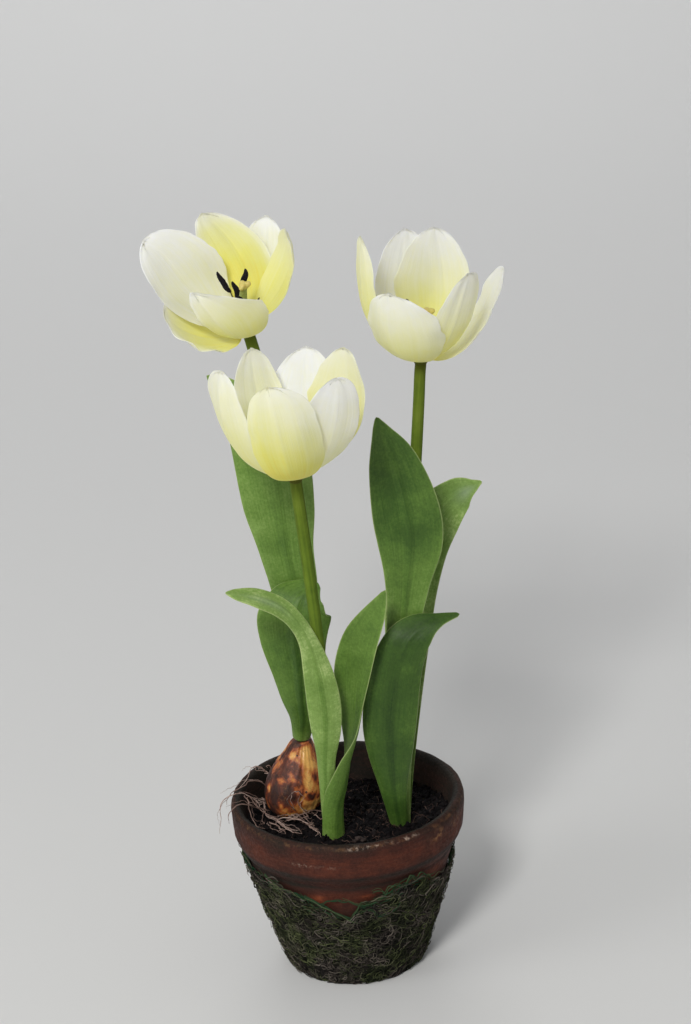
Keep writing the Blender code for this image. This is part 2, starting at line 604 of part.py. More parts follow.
def petal_grid(flower, row, rows, columns):
    """A petal follows a curve that starts nearly level and turns upright; across, it is an arc
    round the flower's axis, and the blade twists about its own midline."""
    base, lean, _ = FLOWERS[flower]
    azimuth, length, right, left, start, end, tip, swing, layer, notch, twist, blunt = row
    first, second, up = flower_axes(lean)
    s = np.linspace(0, 1, 60)
    angle = np.radians(end + (start - end) * (1 - s) ** PETAL_RELAX + tip * np.clip((s - 0.55) / 0.45, 0, 1) ** 2)
    step = length / (len(s) - 1)
    radius = np.concatenate([[0], np.cumsum((np.sin(angle[1:]) + np.sin(angle[:-1])) / 2 * step)])
    height = np.concatenate([[0], np.cumsum((np.cos(angle[1:]) + np.cos(angle[:-1])) / 2 * step)])
    radius = radius + layer * np.cos(angle)
    height = height - layer * np.sin(angle)
    radius = radius - radius[0] + CLAW
    u = np.sin(np.linspace(0, 1, rows + 1) * math.pi / 2 * 0.995) / math.sin(math.pi / 2 * 0.995)
    v = np.linspace(-1, 1, columns + 1)[None, :]
    lower = np.sin(math.pi / 2 * np.clip(u / WIDEST, 0, 1)) ** 0.8
    upper = np.sqrt(np.clip(1 - np.clip((u - WIDEST) / (1 - WIDEST), 0, 1) ** blunt, 0, 1))
    shape = np.where(u < WIDEST, lower, upper)[:, None]
    half = np.maximum(shape * np.where(v < 0, right, left) + 2.2 * np.exp(-u * 8)[:, None], 1.2)
    r = np.interp(u, s, radius)[:, None]
    h = np.interp(u, s, height)[:, None]
    a = np.interp(u, s, angle)[:, None]
    bend = np.maximum(r, CLAW)
    arc = v * half / bend
    out = r - bend + bend * np.cos(arc)
    side = bend * np.sin(arc)
    dent = notch * np.exp(-((v / 0.16) ** 2)) * np.clip((u[:, None] - 0.6) / 0.4, 0, 1) ** 3
    out = out - dent * np.sin(a)
    h = h - dent * np.cos(a) + 0 * arc
    rise = np.clip((u[:, None] - 0.1) / 0.6, 0, 1)
    roll = math.radians(twist) * rise * rise * (3 - 2 * rise)
    out = out + side * np.sin(roll) * np.cos(a)
    h = h - side * np.sin(roll) * np.sin(a)
    side = side * np.cos(roll)
    turn = np.radians(azimuth + swing * u**1.5)[:, None]
    x = out * np.cos(turn) - side * np.sin(turn)
    y = out * np.sin(turn) + side * np.cos(turn)
    return np.array(base, float) + x[..., None] * first + y[..., None] * second + h[..., None] * up


def make_petals():
    for flower, (_, _, rows) in FLOWERS.items():
        for letter, row in zip(PETAL_LETTERS, rows):
            thicken(f"flower_{flower}_petal_{letter}", petal_grid(flower, row, 8, 6), "petal", PETAL)


def join(obj, meshes):
    """Fuses closed meshes into obj in one union."""
    group = bpy.data.collections.new("fuse")
    bpy.context.scene.collection.children.link(group)
    for mesh in meshes:
        group.objects.link(bpy.data.objects.new("piece", mesh))
    step = obj.modifiers.new("fuse", "BOOLEAN")
    step.operation = "UNION"
    step.solver = "EXACT"
    step.operand_type = "COLLECTION"
    step.collection = group
    apply_modifiers(obj)
    for piece in list(group.objects):
        bpy.data.objects.remove(piece, do_unlink=True)
    bpy.data.collections.remove(group)


def make_hearts():
    """Pistil and stamens: the stamens' filaments stand on one ring round the pistil's foot."""
    for flower, (base, lean, _) in FLOWERS.items():
        first, second, up = flower_axes(lean)
        foot = np.array(base, float) + up * (2.0 + GAP)
        tall, slant, stamens = HEARTS[flower]
        part = np.array([0, 0.1, 0.3, 0.6, 0.82, 0.87, 0.95, 1.0])[:, None]
        radii = np.array([1.5, 1.8, PISTIL_RADIUS, 1.7, 1.4, 2.5, 2.6, 1.6])
        pistil = tube_mesh("pistil", foot + tall * part * up + slant * part**1.6 * first, radii, 10)
        new_object(f"flower_{flower}_pistil", pistil, "pistil")
        sides = 12
        angle = np.arange(sides) * 2 * math.pi / sides
        loops = []
        for radius, height in ((2.15, 0.0), (2.15, 0.9), (2.95, 0.9), (2.95, 0.0)):
            loops.append(foot + radius * (np.cos(angle)[:, None] * first + np.sin(angle)[:, None] * second)
                         + height * up)
        faces = []
        for i in range(4):
            j = (i + 1) % 4
            for k in range(sides):
                m = (k + 1) % sides
                faces.append((i * sides + k, i * sides + m, j * sides + m, j * sides + k))
        mesh = mesh_from("ring", np.vstack(loops), faces)
        face_outward(mesh)
        obj = new_object(f"flower_{flower}_stamens", mesh, "stamen")
        pieces = []
        for turn, spread, high, lean_out, lean_left in stamens:
            turn = math.radians(turn)
            away = math.cos(turn) * first + math.sin(turn) * second
            aside = -math.sin(turn) * first + math.cos(turn) * second
            start = foot + away * 2.6 + up * 0.3
            bend = foot + away * (2.6 + 0.45 * (spread - 2.6)) + up * high * 0.55
            knee = foot + away * spread + up * high
            pieces.append(tube_mesh("filament", [start, bend, knee], 0.42, 4))
            tilt = unit(away * math.tan(math.radians(lean_out)) + aside * math.tan(math.radians(lean_left)) + up)
            low = knee - tilt * 0.9
            reach = np.array([0, 1.2, 9.5, ANTHER_LENGTH])[:, None]
            pieces.append(tube_mesh("anther", low + reach * tilt, (0.5, ANTHER_RADIUS, 0.95, 0.4), 5))
        join(obj, pieces)


def main():
    clear_scene()
    make_pot()
    make_soil()
    make_moss()
    make_bulbs()
    make_roots()
    make_stems()
    make_leaves()
    make_petals()
    make_hearts()


main()
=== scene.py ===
"""Looks of the potted tulip: petals, leaves, stems, bulb, roots, soil, old clay pot and moss.

Sizes below are in millimetres unless a name says otherwise; meshes are put in metres. +Z is up and
the front of the plant faces -Y."""

import math

import bpy
import numpy as np
from mathutils import Matrix


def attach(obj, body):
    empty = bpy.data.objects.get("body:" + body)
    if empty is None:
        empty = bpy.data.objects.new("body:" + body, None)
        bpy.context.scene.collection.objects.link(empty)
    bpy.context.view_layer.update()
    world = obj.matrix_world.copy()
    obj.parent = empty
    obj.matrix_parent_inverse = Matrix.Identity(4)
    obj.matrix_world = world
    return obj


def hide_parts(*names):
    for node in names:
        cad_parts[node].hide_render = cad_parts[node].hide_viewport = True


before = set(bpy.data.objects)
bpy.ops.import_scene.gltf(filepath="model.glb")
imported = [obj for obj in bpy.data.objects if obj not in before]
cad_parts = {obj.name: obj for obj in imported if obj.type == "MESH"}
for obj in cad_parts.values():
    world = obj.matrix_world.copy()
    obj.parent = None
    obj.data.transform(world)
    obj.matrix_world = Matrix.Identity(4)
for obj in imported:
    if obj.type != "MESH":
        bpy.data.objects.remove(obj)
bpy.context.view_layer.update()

MM = 0.001
SEED = 11

# Pot
POT_HEIGHT = 100.6
RIM_RADIUS = 65.0
RIM_WALL = 6.5
BAND_BOTTOM = 75.0
NECK_RADIUS = 59.0
FOOT_RADIUS = 36.5
FLOOR = 8.0
WALL = 5.5
DRAIN_RADIUS = 3.2
DRAIN_CIRCLE = 19.0
SOIL_DROP = 13.0
SOIL_SLOPE = 0.145

# The tables here rest on points picked in the photograph. The petals' rows are the output of a
# least-squares fit to their outlines. The stamens that show and the camera come from fits too.
# Scripts worked out places for the standing bulb, the shoots, the stems, the leaves, the moss's edge
# and parts of the roots from picked points, with depths chosen by hand where one picture can't tell
# them. Many of these places were changed after.

# Bulbs: middle of the foot, middle of the neck, largest radius
BULB_1 = ((-31.0, 8.0, 84.5), (-23.0, 7.0, 131.0), 17.3)
BULB_2 = ((-6.0, -25.0, 44.0), (-9.0, -35.5, 84.0), 14.5)
BULB_3 = ((27.0, -13.0, 42.0), (29.5, -21.0, 82.0), 14.5)

# Places where the two hidden bulbs' shoots leave the soil
SHOOTS = ((-9.0, -38.0), (28.5, -26.0))

STEM_RADIUS = 3.1
RECEPTACLE_RADIUS = 4.2
# Points along each stem
STEMS = {
    1: [(-23, 7, 131.7), (-20.5, 12, 180), (-19, 15, 240), (-24, 15, 300), (-32, 13, 348), (-37, 12, 372)],
    2: [(-9, -35.5, 84.5), (-8.6, -37.5, 130), (-9, -41, 190), (-12, -45, 250), (-15, -49, 295),
        (-16, -50, 311)],
    3: [(29.5, -21, 82.7), (32, -15.5, 130), (38, -4, 190), (44, 6, 250), (51, 14, 315), (54, 18, 347)],
}

# Leaves: middle x, y, z, half width left and right, azimuth and rise of the side the margins curl
# towards, curl of the left and of the right half in degrees
LEAVES = {
    "leaf_1_tall": [
        (-23, 3.0, 131.8, 4.2, 4.2, 270, 0, -60, -60),
        (-22, 1.5, 162, 7.6, 7.4, 272, 0, -45, -40),
        (-21, 2, 192, 10, 9.8, 272, 0, -30, -25),
        (-21, 2, 222, 12.9, 12.7, 270, 0, -22, -15),
        (-24, 1, 247, 15.1, 15, 268, 0, -18, -12),
        (-26, -1, 272, 19.4, 19, 266, 0, -15, -15),
        (-29, -1, 301, 20.5, 19.5, 264, 0, -15, -15),
        (-38, 0, 324, 16, 14, 260, 0, -18, -20),
        (-51, 2, 341, 7.9, 6.5, 255, 0, -15, -15),
        (-59, 4, 347, 0.7, 0.7, 250, 0, -5, -5),
    ],
    "leaf_1_short": [
        (-23, 1.7, 132.2, 6.0, 6.0, 270, 0, -65, -65),
        (-21.5, -5.5, 149, 8.2, 8.2, 270, 0, -50, -50),
        (-22, -10, 165, 11.4, 11.4, 270, 0, -28, -30),
        (-22, -12, 182, 14.8, 14.4, 270, 0, -12, -12),
        (-23, -13, 200, 18.4, 18, 270, 0, -14, -14),
        (-22, -12.5, 213, 20, 20, 270, 10, -14, -14),
        (-19.5, -9.5, 221, 15.5, 18.5, 270, 28, -12, -12),
        (-14, -5.5, 226, 8.5, 12.5, 270, 48, -8, -8),
        (-8, -2.5, 228, 1.2, 2.5, 270, 55, -4, -4),
    ],
    "leaf_2_left": [
        (-11.6, -39, 92, 5.6, 5.6, 235, 0, -70, -70),
        (-11.6, -40.5, 113, 5.6, 5.6, 240, 0, -65, -65),
        (-10.5, -44.5, 141, 5.8, 5.8, 255, 0, -50, -50),
        (-9, -47, 160.5, 8.4, 8.5, 266, 0, -30, -35),
        (-9, -48, 177, 9.2, 9.4, 270, 0, -22, -30),
        (-11, -48.5, 196, 7.9, 8.1, 272, 4, -15, -25),
        (-15, -49, 215, 5.2, 5.2, 276, 12, -10, -18),
        (-21, -50, 228, 4.8, 4.8, 282, 30, -8, -12),
        (-29, -51, 237, 5.9, 6, 288, 48, -6, -10),
        (-40, -52, 243, 5.9, 5.9, 292, 52, -6, -8),
        (-50, -53, 246, 3.7, 3.7, 292, 52, -5, -5),
        (-56, -53.5, 247.5, 0.7, 0.7, 292, 52, -3, -3),
    ],
    "leaf_2_front": [
        (-6.8, -41.4, 88, 10, 10, 110, 0, 92, 92),
        (-5, -42, 111, 9, 9.5, 125, 0, 85, 88),
        (-0.5, -42, 126, 9.5, 11, 150, 0, 70, 82),
        (3.5, -41.5, 142, 10.5, 10.5, 178, 0, 50, 75),
        (7.5, -41, 158, 12, 6.5, 205, 0, 40, 60),
        (10.5, -40, 174, 16, 5, 220, 0, 30, 50),
        (14.5, -39, 191, 18.5, 4.2, 230, 0, 25, 40),
        (19, -39, 208, 16.5, 3.6, 238, 0, 20, 30),
        (24, -39, 224, 9.5, 3, 243, 0, 15, 20),
        (27, -39, 237, 0.9, 0.9, 247, 0, 5, 5),
    ],
    "leaf_3_front": [
        (28.8, -28.3, 86, 5.4, 5.4, 272, 0, -62, -62),
        (26.8, -32, 102, 6.4, 6.4, 272, 0, -50, -50),
        (25.5, -34, 118, 8.4, 8.4, 272, 0, -40, -40),
        (25, -34, 138, 12.6, 12.6, 272, 0, -28, -28),
        (25.5, -34, 156, 14.9, 15.1, 272, 0, -20, -25),
        (28, -33, 175, 15, 15.2, 272, 4, -18, -25),
        (31.5, -32, 190, 14, 14.6, 274, 10, -14, -25),
        (37, -30, 202, 12, 13, 278, 22, -12, -22),
        (45, -27, 208.5, 9, 9.5, 284, 40, -12, -18),
        (55, -25, 212, 4.6, 4.6, 286, 60, -10, -10),
        (66, -24, 214, 1.3, 1.3, 288, 60, -3, -3),
    ],
    "leaf_3_tall": [
        (29.5, -25.5, 83.4, 4.7, 4.7, 270, 0, -62, -62),
        (30.5, -24.5, 121, 6, 6, 272, 0, -50, -50),
        (33, -21, 164, 7.6, 7.6, 274, 0, -25, -25),
        (35, -19.5, 199, 8.6, 8.4, 274, 0, 8, 8),
        (39, -18, 228, 11.8, 11.8, 274, 0, 14, 12),
        (42, -17, 253, 17.4, 17.3, 274, 0, 16, 12),
        (40, -16, 275, 18, 17.9, 274, 0, 16, 14),
        (35, -15, 301, 12.9, 12.9, 272, 0, 14, 14),
        (30, -16, 318, 4.8, 4.8, 270, 0, 10, 10),
        (28, -16, 325, 0.7, 0.7, 268, 0, 4, 4),
    ],
    "leaf_3_back": [
        (29.6, -16.7, 83.4, 4.3, 4.3, 266, 0, 58, 58),
        (32, -10.4, 118, 6.6, 6.6, 264, 0, 52, 52),
        (36, -1, 160, 10, 10, 264, 0, 42, 42),
        (39, 7, 192, 13.2, 13.2, 266, 0, 34, 34),
        (42.5, 12, 216, 14.6, 14.4, 268, 0, 30, 28),
        (48.5, 15, 238, 15.2, 15, 270, 4, 28, 25),
        (58.5, 16, 256, 14.2, 14, 276, 10, 24, 20),
        (70, 14, 268, 9.7, 9.7, 286, 20, 18, 15),
        (79, 12, 273, 3.3, 3.3, 296, 25, 8, 8),
        (83, 11, 275, 0.7, 0.7, 300, 25, 3, 3),
    ],
}
# Size, number and start of the waves in each leaf's margins, how light the blade is, depth of its
# middle groove
LEAF_WAVES = {
    "leaf_1_tall": (1.0, 2.3, 0.4, 0.66, 0.5),
    "leaf_1_short": (0.9, 1.7, 1.0, 0.50, 1.4),
    "leaf_2_left": (0.5, 2.1, 2.0, 0.84, 0.5),
    "leaf_2_front": (0.5, 2.0, 0.0, 0.56, 0.5),
    "leaf_3_front": (0.8, 2.2, 1.2, 0.30, 0.8),
    "leaf_3_tall": (1.0, 2.4, 2.6, 0.35, 0.9),
    "leaf_3_back": (0.8, 1.9, 0.7, 0.82, 0.6),
}

# Flowers: receptacle, azimuth and angle that the flower leans, then for each petal its azimuth,
# length, width of the right and of the left half seen from outside, angle from the axis at the base
# and at the tip, bend of the tip, swing of the tip, distance outside the innermost layer, depth of
# the notch, twist of the blade, how blunt the tip is
FLOWERS = {
    1: ((-37, 12, 372), (245, 20), [
        (157, 66.5, 22.8, 24.8, 75, 12.9, 47, 2, -0.2, 0, 28, 1.7),
        (74, 61.1, 18.8, 18.1, 81, 29, -11, 32, 2.2, 0, -16, 1.7),
        (66, 57.5, 11.2, 13.5, 85, 39.4, 4, 3, 4, 0, -2, 2.7),
        (26, 59.6, 12.8, 17.6, 80, 15.4, -34, -17, -0.1, 0, 4, 2.6),
        (253, 45.9, 10.5, 26.3, 75, 3.6, 7, -26, 4.4, 3, -13, 1.7),
        (203, 42, 21.2, 20.6, 88, 37.5, -19, -2, 5.1, 0, 13, 4.9),
    ]),
    2: ((-16, -50, 311), (200, 5), [
        (267, 80.7, 15.2, 22, 80, 15, -23, -2, 2.1, 3, 4, 3.3),
        (301, 79.4, 18.3, 15.6, 78, 20.6, -19, 6, 0.7, 0, 17, 2.4),
        (20, 72.9, 17.6, 20.1, 88, 0.3, 2, -6, 0.4, 0, -32, 1.7),
        (82, 69.2, 20.5, 20.5, 85, 23.9, -4, -8, 2.2, 0, -4, 1.7),
        (119, 69.8, 14.6, 14.2, 81, 7.1, -7, -6, -0, 0, 2, 1.7),
        (205, 79.7, 22.5, 18.5, 75, 5.1, -17, 16, 1.4, 0, 6, 2.1),
    ]),
    3: ((54, 18, 347), (285, 7), [
        (230, 57.9, 14.7, 29.3, 80, 10.3, -14, 7, 1.9, 3, -1, 2.5),
        (294, 65.8, 11.9, 16.8, 76, 4.8, 4, 21, 0.4, 0, 2, 3),
        (-1, 63.6, 19, 16.9, 87, 16, 0, 1, 2.6, 0, -2, 2.9),
        (58, 69.5, 18.6, 24.5, 82, 7.5, 7, 16, -0.1, 2, -31, 1.7),
        (113, 69, 18, 17.2, 83, 0.9, 9, -14, 1.9, 0, -7, 1.7),
        (202, 81.7, 13, 13.3, 77, -4.8, 4, -8, -0.1, 0, -3, 2.1),
    ]),
}
# Yellow of each petal: all over, towards the base, towards the right of the blade (minus: left),
# strength of the long streaks, share left at the margin
PETAL_TINTS = {
    1: [(0.13, 0.20, 0.00, 0.20, 0.4), (0.66, 0.34, 0.10, 0.20, 0.3), (0.22, 0.30, 0.0, 0.2, 0.5),
        (0.42, 0.45, 0.00, 0.20, 0.8), (0.26, 0.60, 0.10, 0.20, 0.5), (0.52, 0.30, 0.10, 0.2, 0.3)],
    2: [(0.40, 0.85, -0.16, 0.20, 0.8), (0.10, 0.65, 0.00, 0.15, 0.6), (0.34, 0.75, 0.0, 0.2, 0.8),
        (0.03, 0.20, 0.00, 0.20, 0.5), (0.20, 0.75, 0.00, 0.20, 0.8), (0.36, 0.50, 0.0, 0.15, 0.6)],
    3: [(0.20, 0.75, 0.00, 0.15, 0.6), (0.16, 1.00, 0.00, 0.20, 0.8), (0.06, 0.55, 0.0, 0.2, 0.6),
        (0.10, 1.30, 0.00, 0.20, 0.8), (0.00, 0.30, 0.00, 0.15, 0.6), (0.42, 0.60, 0.0, 0.2, 0.8)],
}
PETAL_LETTERS = "abcdef"
# Height of the waves in a petal's margins, where it isn't CALM_RUFFLE
CALM_RUFFLE = 0.3
RUFFLES = {(1, "f"): 1.3, (1, "b"): 0.7, (2, "d"): 0.8, (3, "a"): 0.7, (3, "e"): 0.6}
# How late a petal straightens, where along it it is widest, and the radius at which it starts
PETAL_RELAX = 2.2
WIDEST = 0.58
CLAW = 4.95
PETAL_THICKNESS = 0.45
# Painted glow: faint light of the petals' own, in place of the light that comes through them
PAINTED_PETAL_GLOW = 0.07
LEAF_THICKNESS = 0.6

ANTHER_LENGTH = 13.0
# Hearts: height of the pistil, how far its top slants, then its stamens: azimuth, radius and height
# at which the anther starts, angle that it leans outwards and to its left
HEARTS = {
    1: (23.0, 5.0, [(137, 5.3, 16.7, 30, 0), (65, 5.6, 17.5, 3, -24), (276, 6.0, 12.8, 28, 0),
                    (105, 5.4, 8.0, 8, 0), (205, 5.6, 7.0, 12, 0), (335, 6.4, 5.0, 30, 0)]),
    2: (22.0, 2.0, [(25, 6.2, 14.0, 14, 0), (85, 5.6, 15.0, 12, 0), (145, 5.6, 14.0, 14, 0),
                    (205, 5.6, 15.0, 14, 0), (265, 5.6, 14.0, 12, 0), (325, 6.2, 13.0, 18, 0)]),
    3: (23.5, 4.5, [(228, 5.8, 22.0, 26, 0), (262, 5.2, 17.0, 30, 0), (165, 5.6, 10.0, 10, 0),
                    (110, 5.6, 9.0, 10, 0), (55, 6.0, 8.0, 14, 0), (318, 6.4, 7.0, 20, 0)]),
}

# Height of the moss's upper edge at each angle round the pot, in degrees
MOSS_EDGE = [(0, 60), (35, 66), (80, 70), (130, 68), (180, 70), (205, 69), (222, 69), (236, 66),
             (248, 59), (256, 54), (267, 47), (274, 60), (285, 62), (297, 69), (308, 68),
             (325, 62), (340, 58), (360, 60)]

# Distance from the pot to the moss's inner side
MOSS_GAP = 0.9

EVEN_LIGHT = 0.31
PAPER_COLOUR = (0.70, 0.70, 0.695)

# Camera fitted to the photograph
CAMERA_PLACE = (0.0, -1.35, 0.8005)
CAMERA_YAW, CAMERA_PITCH, CAMERA_ROLL = 0.384149, 21.565931, -3.588959
FOCAL_PIXELS, PHOTO_WIDTH = 2724.97, 691


# Small maths

def unit(vectors):
    """Each vector over its own length."""
    return vectors / np.maximum(np.linalg.norm(vectors, axis=-1, keepdims=True), 1e-12)


def through(keys, t):
    """Catmull-Rom curve through evenly spaced keys, read at each t from 0 to 1."""
    keys = np.asarray(keys, float)
    ends = np.vstack([2 * keys[0] - keys[1], keys, 2 * keys[-1] - keys[-2]])
    x = np.clip(np.asarray(t, float) * (len(keys) - 1), 0, len(keys) - 1 - 1e-9)
    i = x.astype(int)
    f = (x - i)[:, None]
    a, b, c, d = ends[i], ends[i + 1], ends[i + 2], ends[i + 3]
    return 0.5 * (2 * b + (c - a) * f + (2 * a - 5 * b + 4 * c - d) * f**2 + (3 * b - 3 * c + d - a) * f**3)


def ripple(points, size, seed, waves=9):
    """Smooth noise near -1 to 1: the sum of sines along random directions, `size` mm long."""
    rng = np.random.default_rng(seed)
    points = np.asarray(points, float)
    ways = unit(rng.normal(size=(waves, points.shape[-1]))) * rng.uniform(0.6, 1.7, (waves, 1))
    shift = rng.uniform(0, 2 * math.pi, waves)
    return np.sin(points @ ways.T * (2 * math.pi / size) + shift).sum(-1) / math.sqrt(waves)


def smooth(x, low, high):
    """0 below low, 1 above high, and an S curve between."""
    t = np.clip((x - low) / (high - low), 0, 1)
    return t * t * (3 - 2 * t)


# Meshes

def put_mesh(name, points_mm, faces, look, replaced=(), uv=None, values=None, smooth_faces=True,
             rim=None):
    """A piece from points in mm and faces of four corners, or of three where the last is given twice,
    with a UV and named numbers at each point. An edge whose ends both lie on the rim is sharp."""
    mesh = bpy.data.meshes.new(name)
    points = np.asarray(points_mm, np.float32) * MM
    faces = np.asarray(faces, np.int32)
    mesh.vertices.add(len(points))
    mesh.vertices.foreach_set("co", points.ravel())
    double = faces[:, 2] == faces[:, 3]
    keep = np.ones(faces.shape, bool)
    keep[double, 3] = False
    loops = faces[keep]
    counts = np.where(double, 3, 4)
    starts = np.concatenate([[0], np.cumsum(counts)[:-1]]).astype(np.int32)
    mesh.loops.add(len(loops))
    mesh.loops.foreach_set("vertex_index", loops.astype(np.int32))
    mesh.polygons.add(len(faces))
    mesh.polygons.foreach_set("loop_start", starts)
    mesh.update(calc_edges=True)
    mesh.validate()
    if uv is not None:
        layer = mesh.uv_layers.new(name="UVMap")
        layer.data.foreach_set("uv", np.asarray(uv, np.float32)[loops].ravel())
    for key, value in (values or {}).items():
        made = mesh.attributes.new(key, "FLOAT", "POINT")
        made.data.foreach_set("value", np.asarray(value, np.float32).ravel())
    if smooth_faces:
        mesh.shade_smooth()
    if rim is not None:
        ends = np.empty(len(mesh.edges) * 2, np.int32)
        mesh.edges.foreach_get("vertices", ends)
        sharp = mesh.attributes.new("sharp_edge", "BOOLEAN", "EDGE")
        sharp.data.foreach_set("value", rim[ends.reshape(-1, 2)].all(1))
    mesh.materials.append(look)
    obj = bpy.data.objects.new(name, mesh)
    bpy.context.scene.collection.objects.link(obj)
    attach(obj, "root")
    if replaced:
        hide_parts(*replaced)
    return obj


def grid_faces(rows, columns, wrap=False):
    """Four-cornered faces of a grid of points, closed round its columns where wrap is set."""
    i, k = np.meshgrid(np.arange(rows - 1), np.arange(columns if wrap else columns - 1), indexing="ij")
    m = (k + 1) % columns
    return np.stack([i * columns + k, i * columns + m, (i + 1) * columns + m, (i + 1) * columns + k],
                    -1).reshape(-1, 4)


def ring_faces(rows, sides):
    """Faces of a stack of rings, with a fan to a middle point below the first and above the last. The
    two middle points follow the rings' points."""
    k = np.arange(sides)
    m = (k + 1) % sides
    end = rows * sides
    last = end - sides
    low = np.stack([m, k, np.full(sides, end), np.full(sides, end)], -1)
    high = np.stack([last + k, last + m, np.full(sides, end + 1), np.full(sides, end + 1)], -1)
    return np.vstack([grid_faces(rows, sides, wrap=True), low, high])


def circle(sides):
    """The angles of evenly spaced points round a circle."""
    return np.arange(sides) * 2 * math.pi / sides


def spread(count):
    """Numbers from -1 to 1 that stand closer towards both ends."""
    v = np.linspace(-1, 1, count)
    return (0.3 * v + 0.7 * np.sin(v * math.pi / 2))[None, :]


def grid_normals(grid):
    """Unit normals of a grid of points, from its two gradients."""
    return unit(np.cross(np.gradient(grid, axis=1), np.gradient(grid, axis=0)))


def blade_mesh(grid, thickness):
    """Both faces of a thin blade: the grid moved out by half the thickness on each side. Its rim is
    rounded over the last half millimetre, and the two faces share the rim's points."""
    rows, columns = grid.shape[:2]
    normal = grid_normals(grid)
    to_side = np.linalg.norm(grid - grid[:, :1], axis=-1)
    to_side = np.minimum(to_side, np.linalg.norm(grid - grid[:, -1:], axis=-1))
    to_end = np.minimum(np.linalg.norm(grid - grid[:1], axis=-1), np.linalg.norm(grid - grid[-1:], axis=-1))
    away = np.minimum(to_side, to_end)
    half = thickness / 2 * np.clip(away / 0.5, 0, 1)[..., None] ** 0.5
    front = grid + normal * half
    back = grid - normal * half
    core = (slice(1, -1), slice(1, -1))
    index = np.arange(rows * columns).reshape(rows, columns)
    other = index.copy()
    other[core] = rows * columns + np.arange((rows - 2) * (columns - 2)).reshape(rows - 2, columns - 2)
    faces = grid_faces(rows, columns)
    far = other.ravel()[faces][:, ::-1]
    points = np.vstack([front.reshape(-1, 3), back[core].reshape(-1, 3)])
    return points, np.vstack([faces[:, ::-1], far[:, ::-1]]), core


def rim_points(values, core):
    """True for the points that a blade's two faces share."""
    inside = np.zeros(values.shape[:2], bool)
    inside[core] = True
    return np.concatenate([~inside.ravel(), np.zeros(inside[core].size, bool)])


def both(values, core):
    """A number for each point of a blade's two faces, from its grid of numbers."""
    tail = values.shape[2:]
    return np.concatenate([values.reshape(-1, *tail), values[core].reshape(-1, *tail)])


def tubes(paths, radii, sides, guide=(0.0, 0.0, 1.0)):
    """Round tubes along many paths at once. paths is (tubes, points, 3); radii is (tubes, points). Each
    ring stands across its path, turned from one guide direction per tube."""
    paths = np.asarray(paths, float)
    count, steps = paths.shape[:2]
    along = unit(np.gradient(paths, axis=1))
    guide = np.broadcast_to(np.asarray(guide, float), along.shape)
    across = np.cross(along, guide)
    weak = np.linalg.norm(across, axis=-1, keepdims=True) < 0.15
    across = unit(np.where(weak, np.cross(along, np.array([0.3, 0.9, 0.2])), across))
    other = np.cross(along, across)
    angle = circle(sides)
    radii = np.broadcast_to(np.asarray(radii, float), (count, steps))[..., None, None]
    rings = paths[:, :, None] + radii * (np.cos(angle)[:, None] * across[:, :, None]
                                         + np.sin(angle)[:, None] * other[:, :, None])
    points = rings.reshape(-1, 3)
    one = grid_faces(steps, sides, wrap=True)
    start = (np.arange(count) * steps * sides)[:, None, None]
    faces = (one[None] + start).reshape(-1, 4)
    for row, turn in ((0, -1), (steps - 1, 1)):
        ring = row * sides + np.arange(sides)[::turn]
        fan = np.stack([np.full(sides - 2, ring[0]), ring[1:-1], ring[2:], ring[2:]], -1)
        faces = np.vstack([faces, (fan[None] + start).reshape(-1, 4)])
    return points, faces


def lumps(centres, sizes, rng):
    """Small uneven pebbles: a ball of three rings of six points, stretched and turned at random."""
    lat = np.radians([-50.0, 0.0, 50.0])
    turn = np.arange(6) * math.pi / 3
    ring = np.stack([np.cos(lat)[:, None] * np.cos(turn), np.cos(lat)[:, None] * np.sin(turn),
                     np.repeat(np.sin(lat)[:, None], 6, 1)], -1).reshape(-1, 3)
    ball = np.vstack([ring, [[0, 0, -1.0], [0, 0, 1.0]]])
    count = len(centres)
    shape = ball[None] * rng.uniform(0.6, 1.25, (count, len(ball), 1)) * rng.uniform(0.55, 1.2, (count, 1, 3))
    spin = rng.uniform(0, 2 * math.pi, (count, 2))
    c, s = np.cos(spin), np.sin(spin)
    x, y, z = shape[..., 0], shape[..., 1], shape[..., 2]
    x, y = x * c[:, :1] - y * s[:, :1], x * s[:, :1] + y * c[:, :1]
    y, z = y * c[:, 1:] - z * s[:, 1:], y * s[:, 1:] + z * c[:, 1:]
    points = np.asarray(centres)[:, None] + np.stack([x, y, z], -1) * np.asarray(sizes)[:, None, None]
    start = (np.arange(count) * len(ball))[:, None, None]
    return points.reshape(-1, 3), (ring_faces(3, 6)[None] + start).reshape(-1, 4)


# Shader helpers

def node(tree, kind, sockets=None, **settings):
    """Adds a node; each socket is given a value, or the output that feeds it."""
    made = tree.nodes.new(kind)
    for key, value in settings.items():
        setattr(made, key, value)
    for key, value in (sockets or {}).items():
        socket = made.inputs[key]
        if isinstance(value, bpy.types.NodeSocket):
            tree.links.new(value, socket)
        elif isinstance(value, tuple) and len(value) == 3 and socket.type == "RGBA":
            socket.default_value = (*value, 1.0)
        else:
            socket.default_value = value
    return made


def maths(tree, operation, a, b=0.0, clamp=False):
    """The output of a Math node. With clamp it stays between 0 and 1."""
    made = node(tree, "ShaderNodeMath", {0: a, 1: b}, operation=operation)
    made.use_clamp = clamp
    return made.outputs[0]


def plus(tree, a, b, clamp=False):
    """The sum of two values."""
    return maths(tree, "ADD", a, b, clamp)


def times(tree, a, b, clamp=False):
    """The product of two values."""
    return maths(tree, "MULTIPLY", a, b, clamp)


def around(tree, value, share):
    """What a value has over one half, times the given share."""
    return times(tree, maths(tree, "SUBTRACT", value, 0.5), share)


